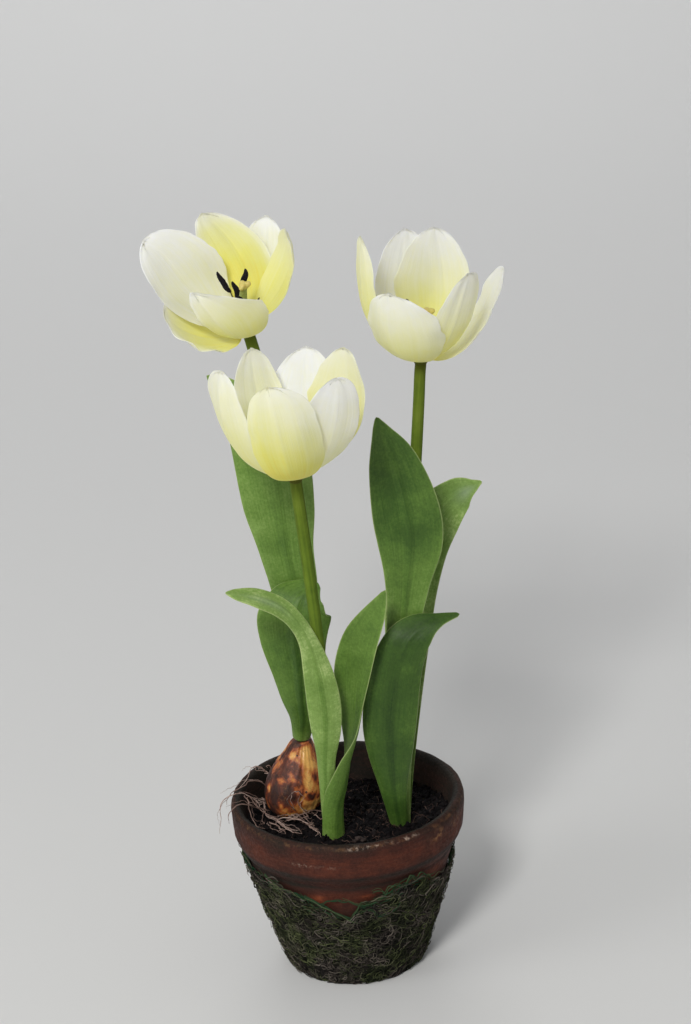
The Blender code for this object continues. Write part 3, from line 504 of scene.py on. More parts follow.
def blend_colour(tree, share, a, b):
    """Colour a, turned into colour b by the given share."""
    made = tree.nodes.new("ShaderNodeMix")
    made.data_type = "RGBA"
    made.clamp_factor = True
    for key, value in ((0, share), (6, a), (7, b)):
        if isinstance(value, bpy.types.NodeSocket):
            tree.links.new(value, made.inputs[key])
        elif isinstance(value, tuple):
            made.inputs[key].default_value = (*value, 1.0)
        else:
            made.inputs[key].default_value = value
    return made.outputs[2]


def span(tree, value, low, high, to_low=0.0, to_high=1.0):
    """Maps low..high to to_low..to_high and stops at both ends."""
    sockets = {"Value": value, "From Min": low, "From Max": high, "To Min": to_low, "To Max": to_high}
    return node(tree, "ShaderNodeMapRange", sockets).outputs[0]


def noise(tree, where, scale, detail=4.0, rough=0.55, distortion=0.0):
    """Noise at a place, with `scale` patches to a metre where that place is in metres."""
    sockets = {"Vector": where, "Scale": scale, "Detail": detail, "Roughness": rough,
               "Distortion": distortion}
    return node(tree, "ShaderNodeTexNoise", sockets).outputs[0]


def ramp(tree, value, stops):
    """A colour read from stops (place, colour) by a value."""
    made = node(tree, "ShaderNodeValToRGB", {0: value})
    cells = made.color_ramp.elements
    while len(cells) < len(stops):
        cells.new(0.5)
    for cell, (place, colour) in zip(cells, stops):
        cell.position = place
        cell.color = (*colour, 1.0)
    return made.outputs[0]


def group(name, inputs, outputs):
    """An empty node group with named inputs (name, kind, value) and outputs (name, kind)."""
    made = bpy.data.node_groups.new(name, "ShaderNodeTree")
    for label, kind, value in inputs:
        socket = made.interface.new_socket(label, in_out="INPUT", socket_type="NodeSocket" + kind)
        if value is not None:
            socket.default_value = value
    for label, kind in outputs:
        made.interface.new_socket(label, in_out="OUTPUT", socket_type="NodeSocket" + kind)
    return made, made.nodes.new("NodeGroupInput").outputs, made.nodes.new("NodeGroupOutput").inputs


def use(tree, made, sockets):
    """Places a group in a material and returns its outputs."""
    placed = tree.nodes.new("ShaderNodeGroup")
    placed.node_tree = made
    for key, value in sockets.items():
        if isinstance(value, bpy.types.NodeSocket):
            tree.links.new(value, placed.inputs[key])
        elif isinstance(value, tuple) and len(value) == 3 and placed.inputs[key].type == "RGBA":
            placed.inputs[key].default_value = (*value, 1.0)
        else:
            placed.inputs[key].default_value = value
    return placed.outputs


def new_material(name, **constants):
    """A material whose Principled shader has the given constants."""
    made = bpy.data.materials.new(name)
    made.use_nodes = True
    shader = made.node_tree.nodes["Principled BSDF"]
    for key, value in constants.items():
        shader.inputs[key.replace("_", " ")].default_value = value
    return made, made.node_tree, shader


def bump(tree, shader, height, strength, distance):
    """Relief from a height of 0 to 1, `distance` metres deep."""
    made = node(tree, "ShaderNodeBump", {"Height": height, "Strength": strength, "Distance": distance})
    tree.links.new(made.outputs[0], shader.inputs["Normal"])


def object_place(tree):
    """The object's own coordinates, in metres."""
    return node(tree, "ShaderNodeTexCoord").outputs["Object"]


def attribute(tree, name):
    """One of the named numbers that put_mesh writes at each point."""
    return node(tree, "ShaderNodeAttribute", attribute_name=name).outputs["Fac"]


# Shared effects

def make_vein_group():
    """Long veins that run with the blade: fine lines across U, broken up by noise drawn out along V."""
    made, given, out = group("long_veins", [("Lines", "Float", 60.0), ("Along", "Float", 3.0),
                                            ("Seed", "Float", 0.0)],
                             [("Lines", "Float"), ("Streaks", "Float")])
    uv = node(made, "ShaderNodeUVMap", uv_map="UVMap").outputs[0]
    parts = node(made, "ShaderNodeSeparateXYZ", {0: uv})
    across = times(made, parts.outputs[0], given["Lines"])
    along = times(made, parts.outputs[1], given["Along"])
    where = node(made, "ShaderNodeCombineXYZ", {0: across, 1: along, 2: given["Seed"]}).outputs[0]
    fine = noise(made, where, 1.0, 2.0, 0.5)
    wide = node(made, "ShaderNodeCombineXYZ", {0: times(made, across, 0.22),
                                               1: times(made, along, 0.4),
                                               2: given["Seed"]}).outputs[0]
    made.links.new(span(made, fine, 0.3, 0.7), out["Lines"])
    made.links.new(span(made, noise(made, wide, 1.0, 3.0, 0.5), 0.3, 0.7), out["Streaks"])
    return made


def make_mottle_group():
    """Patches and specks of two sizes, from the object's own coordinates."""
    made, given, out = group("mottle", [("Patches", "Float", 60.0), ("Specks", "Float", 600.0),
                                        ("Limit", "Float", 0.62)],
                             [("Patches", "Float"), ("Specks", "Float")])
    where = object_place(made)
    large = noise(made, where, given["Patches"], 5.0, 0.6)
    fine = noise(made, where, given["Specks"], 3.0, 0.6)
    made.links.new(span(made, large, 0.3, 0.7), out["Patches"])
    over = maths(made, "SUBTRACT", fine, given["Limit"])
    made.links.new(times(made, over, 14.0, clamp=True), out["Specks"])
    return made


VEINS = make_vein_group()
MOTTLE = make_mottle_group()


# Materials

def make_petal_material():
    """White through cream and lemon to golden, from the petal's own share of yellow, with long faint
    veins and a painted glow in the petal's own colour, in place of light that shines through."""
    made, tree, shader = new_material("tulip_petal", Roughness=0.5, Subsurface_Weight=0.45,
                                      Subsurface_Scale=0.006, Specular_IOR_Level=0.22,
                                      Sheen_Weight=0.12, Sheen_Roughness=0.4)
    shader.inputs["Subsurface Radius"].default_value = (1.0, 0.85, 0.45)
    veins = use(tree, VEINS, {"Lines": 95.0, "Along": 2.2, "Seed": 3.0})
    mottle = use(tree, MOTTLE, {"Patches": 90.0, "Specks": 1500.0, "Limit": 0.70})
    yellow = attribute(tree, "yellow")
    streak = attribute(tree, "streak")
    yellow = plus(tree, yellow, around(tree, veins["Streaks"], streak))
    patch = around(tree, mottle["Patches"], 0.10)
    yellow = plus(tree, yellow, patch, clamp=True)
    colour = ramp(tree, yellow, [(0.0, (0.85, 0.85, 0.82)), (0.22, (0.83, 0.82, 0.60)),
                                 (0.55, (0.78, 0.76, 0.32)), (0.85, (0.78, 0.73, 0.15)),
                                 (1.0, (0.78, 0.67, 0.09))])
    fade = span(tree, veins["Lines"], 0.0, 1.0, 0.0, 0.05)
    colour = blend_colour(tree, fade, colour, (0.55, 0.56, 0.42))
    tree.links.new(colour, shader.inputs["Base Color"])
    # Painted glow: the petal gives off a faint light in its own colour, standing in for light that shines
    # through it
    shader.inputs["Emission Strength"].default_value = PAINTED_PETAL_GLOW
    tree.links.new(colour, shader.inputs["Emission Color"])
    height = plus(tree, times(tree, veins["Lines"], 0.5), veins["Streaks"])
    height = times(tree, height, attribute(tree, "veined"))
    bump(tree, shader, height, 0.3, 0.0002)
    return made


def make_leaf_material():
    """Satin green, darker in the middle and lighter at the margin, with fine long veins, a waxy grey
    bloom and dark specks of soil near the base."""
    made, tree, shader = new_material("tulip_leaf", Specular_IOR_Level=0.24, Subsurface_Weight=0.06,
                                      Subsurface_Scale=0.002)
    shader.inputs["Subsurface Radius"].default_value = (0.4, 1.0, 0.2)
    veins = use(tree, VEINS, {"Lines": 120.0, "Along": 4.0, "Seed": 8.0})
    mottle = use(tree, MOTTLE, {"Patches": 55.0, "Specks": 900.0, "Limit": 0.66})
    light = attribute(tree, "light")
    light = plus(tree, light, around(tree, mottle["Patches"], 0.26))
    grains = noise(tree, object_place(tree), 700.0, 4.0, 0.65)
    light = plus(tree, light, around(tree, grains, 0.45))
    light = plus(tree, light, around(tree, veins["Streaks"], 0.08))
    light = plus(tree, light, around(tree, veins["Lines"], 0.09), clamp=True)
    colour = ramp(tree, light, [(0.0, (0.022, 0.054, 0.009)), (0.3, (0.050, 0.108, 0.016)),
                                (0.6, (0.118, 0.214, 0.036)), (0.85, (0.215, 0.335, 0.082)),
                                (1.0, (0.40, 0.52, 0.19))])
    colour = blend_colour(tree, attribute(tree, "margin"), colour, (0.40, 0.46, 0.20))
    colour = blend_colour(tree, attribute(tree, "bloom"), colour, (0.30, 0.37, 0.27))
    dirt = times(tree, mottle["Specks"], attribute(tree, "dirt"))
    colour = blend_colour(tree, dirt, colour, (0.015, 0.012, 0.008))
    tree.links.new(colour, shader.inputs["Base Color"])
    tree.links.new(span(tree, mottle["Patches"], 0.0, 1.0, 0.36, 0.52), shader.inputs["Roughness"])
    height = plus(tree, veins["Lines"], times(tree, veins["Streaks"], 1.5))
    bump(tree, shader, height, 0.35, 0.0002)
    return made


def make_stem_material():
    """Olive green with long streaks, browner towards the flower."""
    made, tree, shader = new_material("tulip_stem", Roughness=0.7, Specular_IOR_Level=0.08)
    veins = use(tree, VEINS, {"Lines": 26.0, "Along": 5.0, "Seed": 1.0})
    mottle = use(tree, MOTTLE, {"Patches": 90.0, "Specks": 1100.0, "Limit": 0.66})
    light = plus(tree, times(tree, veins["Streaks"], 0.45),
                  times(tree, mottle["Patches"], 0.35))
    colour = ramp(tree, light, [(0.0, (0.060, 0.105, 0.012)), (0.5, (0.125, 0.190, 0.020)),
                                (1.0, (0.210, 0.270, 0.045))])
    colour = blend_colour(tree, attribute(tree, "brown"), colour, (0.085, 0.085, 0.012))
    tree.links.new(colour, shader.inputs["Base Color"])
    bump(tree, shader, veins["Lines"], 0.3, 0.0002)
    return made


def make_bulb_material():
    """Pale yellow flesh under torn papery skin: orange where it is thin, dark red-brown where it is
    thick, with fine cracks and black specks."""
    made, tree, shader = new_material("bulb_skin", Specular_IOR_Level=0.4, Subsurface_Weight=0.08,
                                      Subsurface_Scale=0.002)
    where = object_place(tree)
    warped = noise(tree, where, 130.0, 6.0, 0.62, 0.6)
    skin = plus(tree, attribute(tree, "paper"), around(tree, warped, 1.5))
    colour = ramp(tree, skin, [(0.14, (0.72, 0.40, 0.11)), (0.36, (0.52, 0.20, 0.05)),
                               (0.50, (0.34, 0.085, 0.024)), (0.62, (0.110, 0.026, 0.012)),
                               (0.90, (0.038, 0.013, 0.009))])
    cracks = node(tree, "ShaderNodeTexVoronoi", {"Vector": where, "Scale": 420.0}, feature="DISTANCE_TO_EDGE")
    crack = span(tree, cracks.outputs[0], 0.0, 0.06, 1.0, 0.0)
    crack = times(tree, crack, span(tree, noise(tree, where, 210.0, 3.0), 0.45, 0.62, 0.0, 0.65))
    colour = blend_colour(tree, crack, colour, (0.20, 0.085, 0.030))
    specks = use(tree, MOTTLE, {"Patches": 100.0, "Specks": 380.0, "Limit": 0.655})
    colour = blend_colour(tree, specks["Specks"], colour, (0.018, 0.010, 0.008))
    tree.links.new(colour, shader.inputs["Base Color"])
    tree.links.new(span(tree, skin, 0.2, 0.8, 0.30, 0.62), shader.inputs["Roughness"])
    bump(tree, shader, plus(tree, skin, times(tree, crack, -0.4)), 0.5, 0.0005)
    return made


def make_root_material():
    """Dry roots, pale grey-brown to pinkish, darker in places."""
    made, tree, shader = new_material("dry_root", Roughness=0.7, Specular_IOR_Level=0.25)
    where = object_place(tree)
    colour = ramp(tree, plus(tree, times(tree, noise(tree, where, 260.0, 4.0), 0.6),
                              times(tree, attribute(tree, "tone"), 0.4)),
                  [(0.25, (0.060, 0.034, 0.026)), (0.5, (0.27, 0.175, 0.145)), (0.8, (0.60, 0.46, 0.40))])
    tree.links.new(colour, shader.inputs["Base Color"])
    bump(tree, shader, noise(tree, where, 1500.0, 3.0), 0.4, 0.0002)
    return made


def make_soil_material():
    """Near-black damp soil with small brown and grey crumbs."""
    made, tree, shader = new_material("potting_soil", Specular_IOR_Level=0.14)
    where = object_place(tree)
    fine = noise(tree, where, 700.0, 6.0, 0.65)
    tone = plus(tree, times(tree, fine, 0.7), times(tree, attribute(tree, "tone"), 0.42))
    colour = ramp(tree, tone, [(0.25, (0.0010, 0.0008, 0.0012)), (0.5, (0.0028, 0.0019, 0.0026)),
                               (0.75, (0.0130, 0.0085, 0.0085)), (1.0, (0.085, 0.062, 0.054))])
    tree.links.new(colour, shader.inputs["Base Color"])
    tree.links.new(span(tree, fine, 0.3, 0.7, 0.62, 0.95), shader.inputs["Roughness"])
    bump(tree, shader, fine, 0.9, 0.0012)
    return made


def make_clay_material():
    """Old unglazed clay: orange-red under a brown-black film of age, rubbed bare on the band's edges
    and below it, with white lime marks along the rim and damp dark inside."""
    made, tree, shader = new_material("aged_clay", Specular_IOR_Level=0.18)
    where = object_place(tree)
    large = noise(tree, where, 34.0, 6.0, 0.62, 0.4)
    fine = noise(tree, where, 520.0, 5.0, 0.65)
    drawn = node(tree, "ShaderNodeMapping", {"Vector": where, "Scale": (1.0, 1.0, 7.0)}).outputs[0]
    turned = noise(tree, drawn, 90.0, 4.0, 0.6)
    film = plus(tree, attribute(tree, "film"), around(tree, large, 0.8))
    film = plus(tree, film, around(tree, turned, 0.45))
    film = plus(tree, film, around(tree, fine, 0.35))
    colour = ramp(tree, film, [(0.0, (0.270, 0.068, 0.026)), (0.30, (0.110, 0.027, 0.013)),
                               (0.58, (0.047, 0.0140, 0.0090)), (0.82, (0.025, 0.0125, 0.0088)),
                               (1.0, (0.013, 0.0105, 0.0075))])
    grains = noise(tree, where, 1500.0, 3.0, 0.7)
    colour = blend_colour(tree, span(tree, grains, 0.60, 0.74, 0.0, 0.5), colour, (0.15, 0.080, 0.052))
    pits = span(tree, grains, 0.30, 0.42, 0.75, 0.0)
    colour = blend_colour(tree, pits, colour, (0.010, 0.007, 0.005))
    broken = times(tree, attribute(tree, "lime"), span(tree, noise(tree, where, 420.0, 5.0, 0.7), 0.49, 0.62))
    colour = blend_colour(tree, broken, colour, (0.52, 0.40, 0.32))
    worn = times(tree, attribute(tree, "worn"), span(tree, noise(tree, where, 300.0, 5.0, 0.7), 0.46, 0.66))
    colour = blend_colour(tree, worn, colour, (0.32, 0.155, 0.065))
    tree.links.new(colour, shader.inputs["Base Color"])
    tree.links.new(span(tree, fine, 0.3, 0.7, 0.55, 0.85), shader.inputs["Roughness"])
    height = plus(tree, fine, times(tree, grains, 0.6))
    height = plus(tree, height, times(tree, turned, 0.8))
    bump(tree, shader, height, 0.55, 0.0006)
    return made


def make_moss_material():
    """Dry threads from grey-brown over olive to green, each by its own tone and by place."""
    made, tree, shader = new_material("dry_moss", Roughness=0.9, Specular_IOR_Level=0.15)
    where = object_place(tree)
    place = noise(tree, where, 45.0, 3.0)
    tone = attribute(tree, "tone")
    green = plus(tree, attribute(tree, "green"), around(tree, place, 0.8))
    dry = ramp(tree, tone, [(0.0, (0.004, 0.0032, 0.0028)), (0.4, (0.042, 0.035, 0.030)),
                            (1.0, (0.210, 0.180, 0.150))])
    live = ramp(tree, tone, [(0.0, (0.0032, 0.0042, 0.0020)), (0.4, (0.036, 0.044, 0.019)),
                             (1.0, (0.150, 0.175, 0.072))])
    colour = blend_colour(tree, span(tree, green, 0.35, 0.75), dry, live)
    colour = blend_colour(tree, attribute(tree, "wiry"), colour, (0.016, 0.070, 0.032))
    tree.links.new(colour, shader.inputs["Base Color"])
    bump(tree, shader, noise(tree, where, 1400.0, 4.0), 0.6, 0.0005)
    return made


def make_anther_material():
    """Black dusty pollen."""
    made, tree, shader = new_material("black_anther", Roughness=0.85, Specular_IOR_Level=0.12)
    where = object_place(tree)
    colour = ramp(tree, noise(tree, where, 2200.0, 3.0),
                  [(0.35, (0.004, 0.0035, 0.005)), (0.75, (0.028, 0.024, 0.030))])
    colour = blend_colour(tree, attribute(tree, "stalk"), colour, (0.10, 0.10, 0.035))
    tree.links.new(colour, shader.inputs["Base Color"])
    bump(tree, shader, noise(tree, where, 4200.0, 2.0), 0.5, 0.0002)
    return made


def make_pistil_material():
    """Green column with a pale yellow stigma."""
    made, tree, shader = new_material("green_pistil", Roughness=0.5, Subsurface_Weight=0.1,
                                      Subsurface_Scale=0.001)
    where = object_place(tree)
    colour = ramp(tree, noise(tree, where, 900.0, 3.0),
                  [(0.3, (0.21, 0.26, 0.06)), (0.7, (0.36, 0.41, 0.12))])
    colour = blend_colour(tree, attribute(tree, "stigma"), colour, (0.66, 0.55, 0.16))
    tree.links.new(colour, shader.inputs["Base Color"])
    bump(tree, shader, noise(tree, where, 2600.0, 2.0), 0.4, 0.0002)
    return made


def make_paper_material(name, colour):
    """Plain matt paper for the floor."""
    made, tree, shader = new_material(name, Roughness=0.95, Specular_IOR_Level=0.1)
    where = object_place(tree)
    shade = blend_colour(tree, noise(tree, where, 900.0, 3.0), tuple(0.985 * c for c in colour), colour)
    tree.links.new(shade, shader.inputs["Base Color"])
    return made


# Pot and soil

def pot_outer(z):
    """Radius of the pot's body at a height: a cone from foot to neck."""
    return FOOT_RADIUS + (NECK_RADIUS - FOOT_RADIUS) * z / BAND_BOTTOM


def pot_inner(z):
    """Radius of the pot's inside at a height: the body less its wall, widening to the rim."""
    heights = (FLOOR, 10.5, 35.0, 62.0, 73.0, POT_HEIGHT - 2.4)
    radii = [pot_outer(h) - WALL for h in heights[:-1]] + [RIM_RADIUS - RIM_WALL]
    radii[0] -= 2.0
    return np.interp(z, heights, radii)


def soil_height(x, y):
    """The soil's height: a plane that falls towards the back, with low waves of sine products."""
    lumps_low = np.sin(0.31 * x + 1.0) * np.cos(0.27 * y - 0.4) + 0.6 * np.sin(0.53 * x - 0.47 * y)
    return POT_HEIGHT - SOIL_DROP - SOIL_SLOPE * y + 0.66 * lumps_low


def make_pot(clay):
    """A profile of rounded corners turned round the axis. The wall wanders a little with the angle,
    and shallow chips are taken from the rim."""
    top = POT_HEIGHT
    outside = [(0.0, 0.0), (FOOT_RADIUS - 0.8, 0.0), (FOOT_RADIUS + 0.8, 3.0), (pot_outer(40.0) + 0.6, 40.0),
               (NECK_RADIUS - 1.5, 69.0), (NECK_RADIUS - 0.9, 70.6), (NECK_RADIUS - 1.2, 72.0),
               (NECK_RADIUS + 0.6, 74.3), (RIM_RADIUS - 3.9, 76.3), (RIM_RADIUS - 2.1, 78.6),
               (RIM_RADIUS - 2.0, 79.8), (RIM_RADIUS - 1.1, 81.0), (RIM_RADIUS - 0.6, 88.0),
               (RIM_RADIUS - 0.1, 96.0), (RIM_RADIUS - 0.5, top - 2.0), (RIM_RADIUS - 2.0, top - 0.3),
               (RIM_RADIUS - 3.6, top), (RIM_RADIUS - RIM_WALL + 1.0, top - 0.8)]
    inside = [(RIM_RADIUS - RIM_WALL, top - 2.6)]
    inside += [(float(pot_inner(z)), z) for z in (73.0, 62.0, 35.0, 10.5, FLOOR)] + [(0.0, FLOOR)]
    profile = np.array(outside + inside)
    length = np.concatenate([[0], np.cumsum(np.linalg.norm(np.diff(profile, axis=0), axis=1))])
    out_end, all_end = length[len(outside)], length[-1]
    foot_end = length[1]
    at = np.concatenate([np.linspace(0, foot_end - 2, 10, endpoint=False),
                         np.arange(foot_end - 2, out_end, 0.8), np.linspace(out_end, all_end, 26)])
    radius = np.interp(at, length, profile[:, 0])
    height = np.interp(at, length, profile[:, 1])
    for _ in range(2):
        radius[1:-1] = radius[1:-1] * 0.5 + (radius[:-2] + radius[2:]) * 0.25
        height[1:-1] = height[1:-1] * 0.5 + (height[:-2] + height[2:]) * 0.25
    keep = radius > 1e-3
    radius, height, at = radius[keep], height[keep], at[keep]
    sides = 200
    angle = circle(sides)
    x, y = radius[:, None] * np.cos(angle), radius[:, None] * np.sin(angle)
    points = np.stack([x, y, np.repeat(height[:, None], sides, 1)], -1)
    on_wall = (smooth(radius, 28, 34) * smooth(at, foot_end - 3, foot_end + 6))[:, None]
    shift = 0.22 * ripple(points, 42.0, 1) + 0.10 * ripple(points, 9.0, 2)
    rim = smooth(height, top - 6, top - 1)[:, None]
    chips = np.clip(ripple(points, 15.0, 5) - 1.15, 0, 1) * rim * 1.2
    sign = np.where(at < out_end - 6, 1.0, -1.0)[:, None]
    change = (shift * on_wall - chips) * sign
    points[..., 0] += change * np.cos(angle)
    points[..., 1] += change * np.sin(angle)
    points[..., 2] -= 0.5 * chips
    flat = np.vstack([points.reshape(-1, 3), [[0, 0, 0.0], [0, 0, FLOOR]]])
    turn = np.degrees(angle)[None, :]
    z = points[..., 2]
    outer = (at < out_end - 4)[:, None]
    film = np.full(z.shape, 0.66)
    film -= 0.10 * smooth(-np.abs(z - 66), -10, -4) * outer
    film -= 0.16 * smooth(z, 78, 84) * smooth(-z, -97, -90) * outer
    film -= 0.42 * np.exp(-((turn - 277) / 5.0) ** 2 - ((z - 65) / 2.0) ** 2) * outer
    film -= 0.42 * np.exp(-((turn - 250) / 6.0) ** 2 - ((z - 64) / 2.5) ** 2) * outer
    film -= 0.20 * smooth(turn, 285, 300) * smooth(-turn, -345, -320) * smooth(-z, -78, -72) * outer
    film += 0.28 * np.exp(-((z - 79.5) / 1.3) ** 2) * outer + 0.30 * np.exp(-((z - 71.5) / 1.6) ** 2) * outer
    film = np.where(outer, film, 0.93)
    film += 0.15 * smooth(z, top - 5, top - 1)
    edge = np.exp(-((z - (top - 1.6)) / 0.8) ** 2) * outer
    lime = edge * (0.9 * np.exp(-((turn - 274) / 6) ** 2) + np.exp(-((turn - 284) / 4) ** 2)
                   + 0.9 * np.exp(-((turn - 298) / 6) ** 2))
    band_mark = np.exp(-((z - 88.0) / 0.8) ** 2) * (
        np.exp(-((turn - 246) / 5) ** 2) + 0.8 * np.exp(-((turn - 259) / 3) ** 2))
    lime = np.clip(lime + 0.5 * band_mark * outer, 0, 1)
    worn = np.exp(-((z - 93) / 3.0) ** 2) * (
        np.exp(-((turn - 318) / 5) ** 2) + 0.7 * np.exp(-((turn - 334) / 4) ** 2))
    worn = worn * outer + 0.3 * edge
    values = {key: np.concatenate([value.ravel(), [end, end]]) for key, value, end in
              (("film", film, 0.9), ("lime", lime, 0.0), ("worn", worn, 0.0))}
    obj = put_mesh("clay_pot", flat, ring_faces(len(radius), sides), clay, ["pot"],
                   values=values)
    for k in range(3):
        way = math.radians(90 + 120 * k)
        x, y = DRAIN_CIRCLE * math.cos(way), DRAIN_CIRCLE * math.sin(way)
        path = np.array([[[x, y, z] for z in (-4.0, 4.0, 12.0)]])
        hole, sides_of = tubes(path, [[DRAIN_RADIUS] * 3], 28, guide=(0, 1, 0))
        mesh = bpy.data.meshes.new("drain")
        mesh.from_pydata((hole * MM).tolist(), [], [tuple(dict.fromkeys(f)) for f in sides_of.tolist()])
        mesh.update()
        cutter = bpy.data.objects.new("drain", mesh)
        bpy.context.scene.collection.objects.link(cutter)
        step = obj.modifiers.new("hole", "BOOLEAN")
        step.operation = "DIFFERENCE"
        step.solver = "EXACT"
        step.object = cutter
        graph = bpy.context.evaluated_depsgraph_get()
        done = bpy.data.meshes.new_from_object(obj.evaluated_get(graph), depsgraph=graph)
        obj.modifiers.clear()
        obj.data = done
        bpy.data.objects.remove(cutter, do_unlink=True)
    return obj


def soil_surface(x, y):
    """The soil's height with grains: the slope, then noise of three sizes, heaped up at the shoots and
    the bulb."""
    place = np.stack([x, y], -1)
    z = soil_height(x, y)
    for size, length, seed in ((0.7, 9.0, 21), (0.55, 3.6, 22), (0.3, 1.9, 23)):
        z = z + size * ripple(place, length, seed)
    for (cx, cy), reach, rise in ((SHOOTS[0], 9, 1.6), (SHOOTS[1], 10, 1.8), (BULB_1[0][:2], 17, 1.0)):
        away = np.hypot(x - cx, y - cy)
        z = z + rise * np.exp(-((away - reach) / 4.0) ** 2)
    return z


def make_soil(material):
    """A plug that fills the pot: rings up its side and inwards over its rough top. Loose crumbs lie on
    it, more towards the rim as the area grows, with five pale ones in a heap at the front."""
    sides, rings = 220, 74
    angle = circle(sides)
    part = np.linspace(1, 0.012, rings)
    rim = pot_inner(soil_height(57 * np.cos(angle), 57 * np.sin(angle))) - 0.15
    x, y = rim * part[:, None] * np.cos(angle), rim * part[:, None] * np.sin(angle)
    top = np.stack([x, y, soil_surface(x, y)], -1)
    side = []
    for z in (FLOOR + 0.3, 35.0, 62.0, 80.0):
        radius = float(pot_inner(z)) - 0.3
        side.append(np.stack([radius * np.cos(angle), radius * np.sin(angle), np.full(sides, z)], -1))
    points = np.concatenate([np.array(side), top])
    middle = np.zeros(1)
    poles = [[0, 0, FLOOR + 0.3], [0, 0, float(soil_surface(middle, middle)[0])]]
    flat = np.vstack([points.reshape(-1, 3), poles])
    tone = 0.35 + 0.2 * ripple(flat, 14.0, 31) + 0.12 * ripple(flat, 3.0, 32)
    put_mesh("potting_soil", flat, ring_faces(len(points), sides), material, ["soil"],
             values={"tone": np.clip(tone, 0, 1)})
    rng = np.random.default_rng(SEED)
    count = 2600
    r = 56.5 * np.sqrt(rng.uniform(0, 1, count))
    a = rng.uniform(0, 2 * math.pi, count)
    x, y = r * np.cos(a), r * np.sin(a)
    bulb_near = np.hypot(x - BULB_1[0][0], y - BULB_1[0][1]) < 16
    shoot_near = np.hypot(x - SHOOTS[0][0], y - SHOOTS[0][1]) < 7.5
    shoot_near |= np.hypot(x - SHOOTS[1][0], y - SHOOTS[1][1]) < 8.5
    size = rng.gamma(2.2, 0.27, count) + 0.25
    size = np.minimum(size, 2.1)
    keep = ~bulb_near & ~shoot_near & (r + size < 57)
    x, y, size = x[keep], y[keep], size[keep]
    centres = np.stack([x, y, soil_surface(x, y) + 0.25 * size], -1)
    heap = np.array([[4.5, -49.0, 0], [6.5, -50.5, 0], [8.0, -48.5, 0], [2.5, -50.0, 0], [5.5, -47.0, 0]])
    heap[:, 2] = soil_surface(heap[:, 0], heap[:, 1]) + 1.0
    centres = np.vstack([centres, heap])
    size = np.concatenate([size, [2.6, 2.2, 1.9, 1.7, 2.0]])
    points, faces = lumps(centres, size, rng)
    tone = np.concatenate([rng.beta(1.6, 3.4, len(x)), np.full(len(heap), 1.25)])
    values = {"tone": np.repeat(tone, len(points) // len(tone))}
    put_mesh("soil_crumbs", points, faces, material, values=values, smooth_faces=False)


def thread_paths(starts, headings, steps, step, wander, rng, height):
    """Threads that wander over the ground: each heading turns at random, and height gives z."""
    count = len(starts)
    turn = rng.normal(0, wander * 0.6, (count, 1)) + rng.normal(0, wander, (count, steps))
    heading = headings[:, None] + np.cumsum(turn, axis=1)
    x = starts[:, :1] + np.cumsum(np.cos(heading) * step, axis=1)
    y = starts[:, 1:2] + np.cumsum(np.sin(heading) * step, axis=1)
    return np.stack([x, y, height(x, y)], -1)


def make_soil_threads(material):
    """Thin dark fibres lying among the crumbs."""
    rng = np.random.default_rng(SEED + 1)
    count, steps = 190, 12
    r = 53 * np.sqrt(rng.uniform(0, 1, count))
    a = rng.uniform(0, 2 * math.pi, count)
    starts = np.stack([r * np.cos(a), r * np.sin(a)], -1)
    headings = rng.uniform(0, 2 * math.pi, count)
    paths = thread_paths(starts, headings, steps, rng.uniform(0.5, 1.3, (count, 1)), 0.35, rng,
                         lambda x, y: soil_surface(x, y) + 0.35)
    from_axis = np.hypot(paths[..., 0], paths[..., 1])
    from_bulb = np.hypot(paths[..., 0] - BULB_1[0][0], paths[..., 1] - BULB_1[0][1])
    paths = paths[(from_axis.max(1) < 56) & (from_bulb.min(1) > 15)]
    lift = np.sin(np.linspace(0, math.pi, steps)) * rng.uniform(0, 1.6, (len(paths), 1))
    paths[..., 2] += lift
    taper = np.sin(np.linspace(0.25, math.pi - 0.25, steps)) ** 0.5
    points, faces = tubes(paths, 0.16 * taper * rng.uniform(0.6, 1.3, (len(paths), 1)), 4)
    tone = np.repeat(rng.uniform(-1.0, 0.1, len(paths)), steps * 4)
    put_mesh("soil_threads", points, faces, material, values={"tone": tone})


# Moss

def moss_edge(angle):
    """Height of the moss's edge, read from its table in straight lines."""
    table = np.array(MOSS_EDGE, float)
    return np.interp(np.degrees(angle) % 360, table[:, 0], table[:, 1])


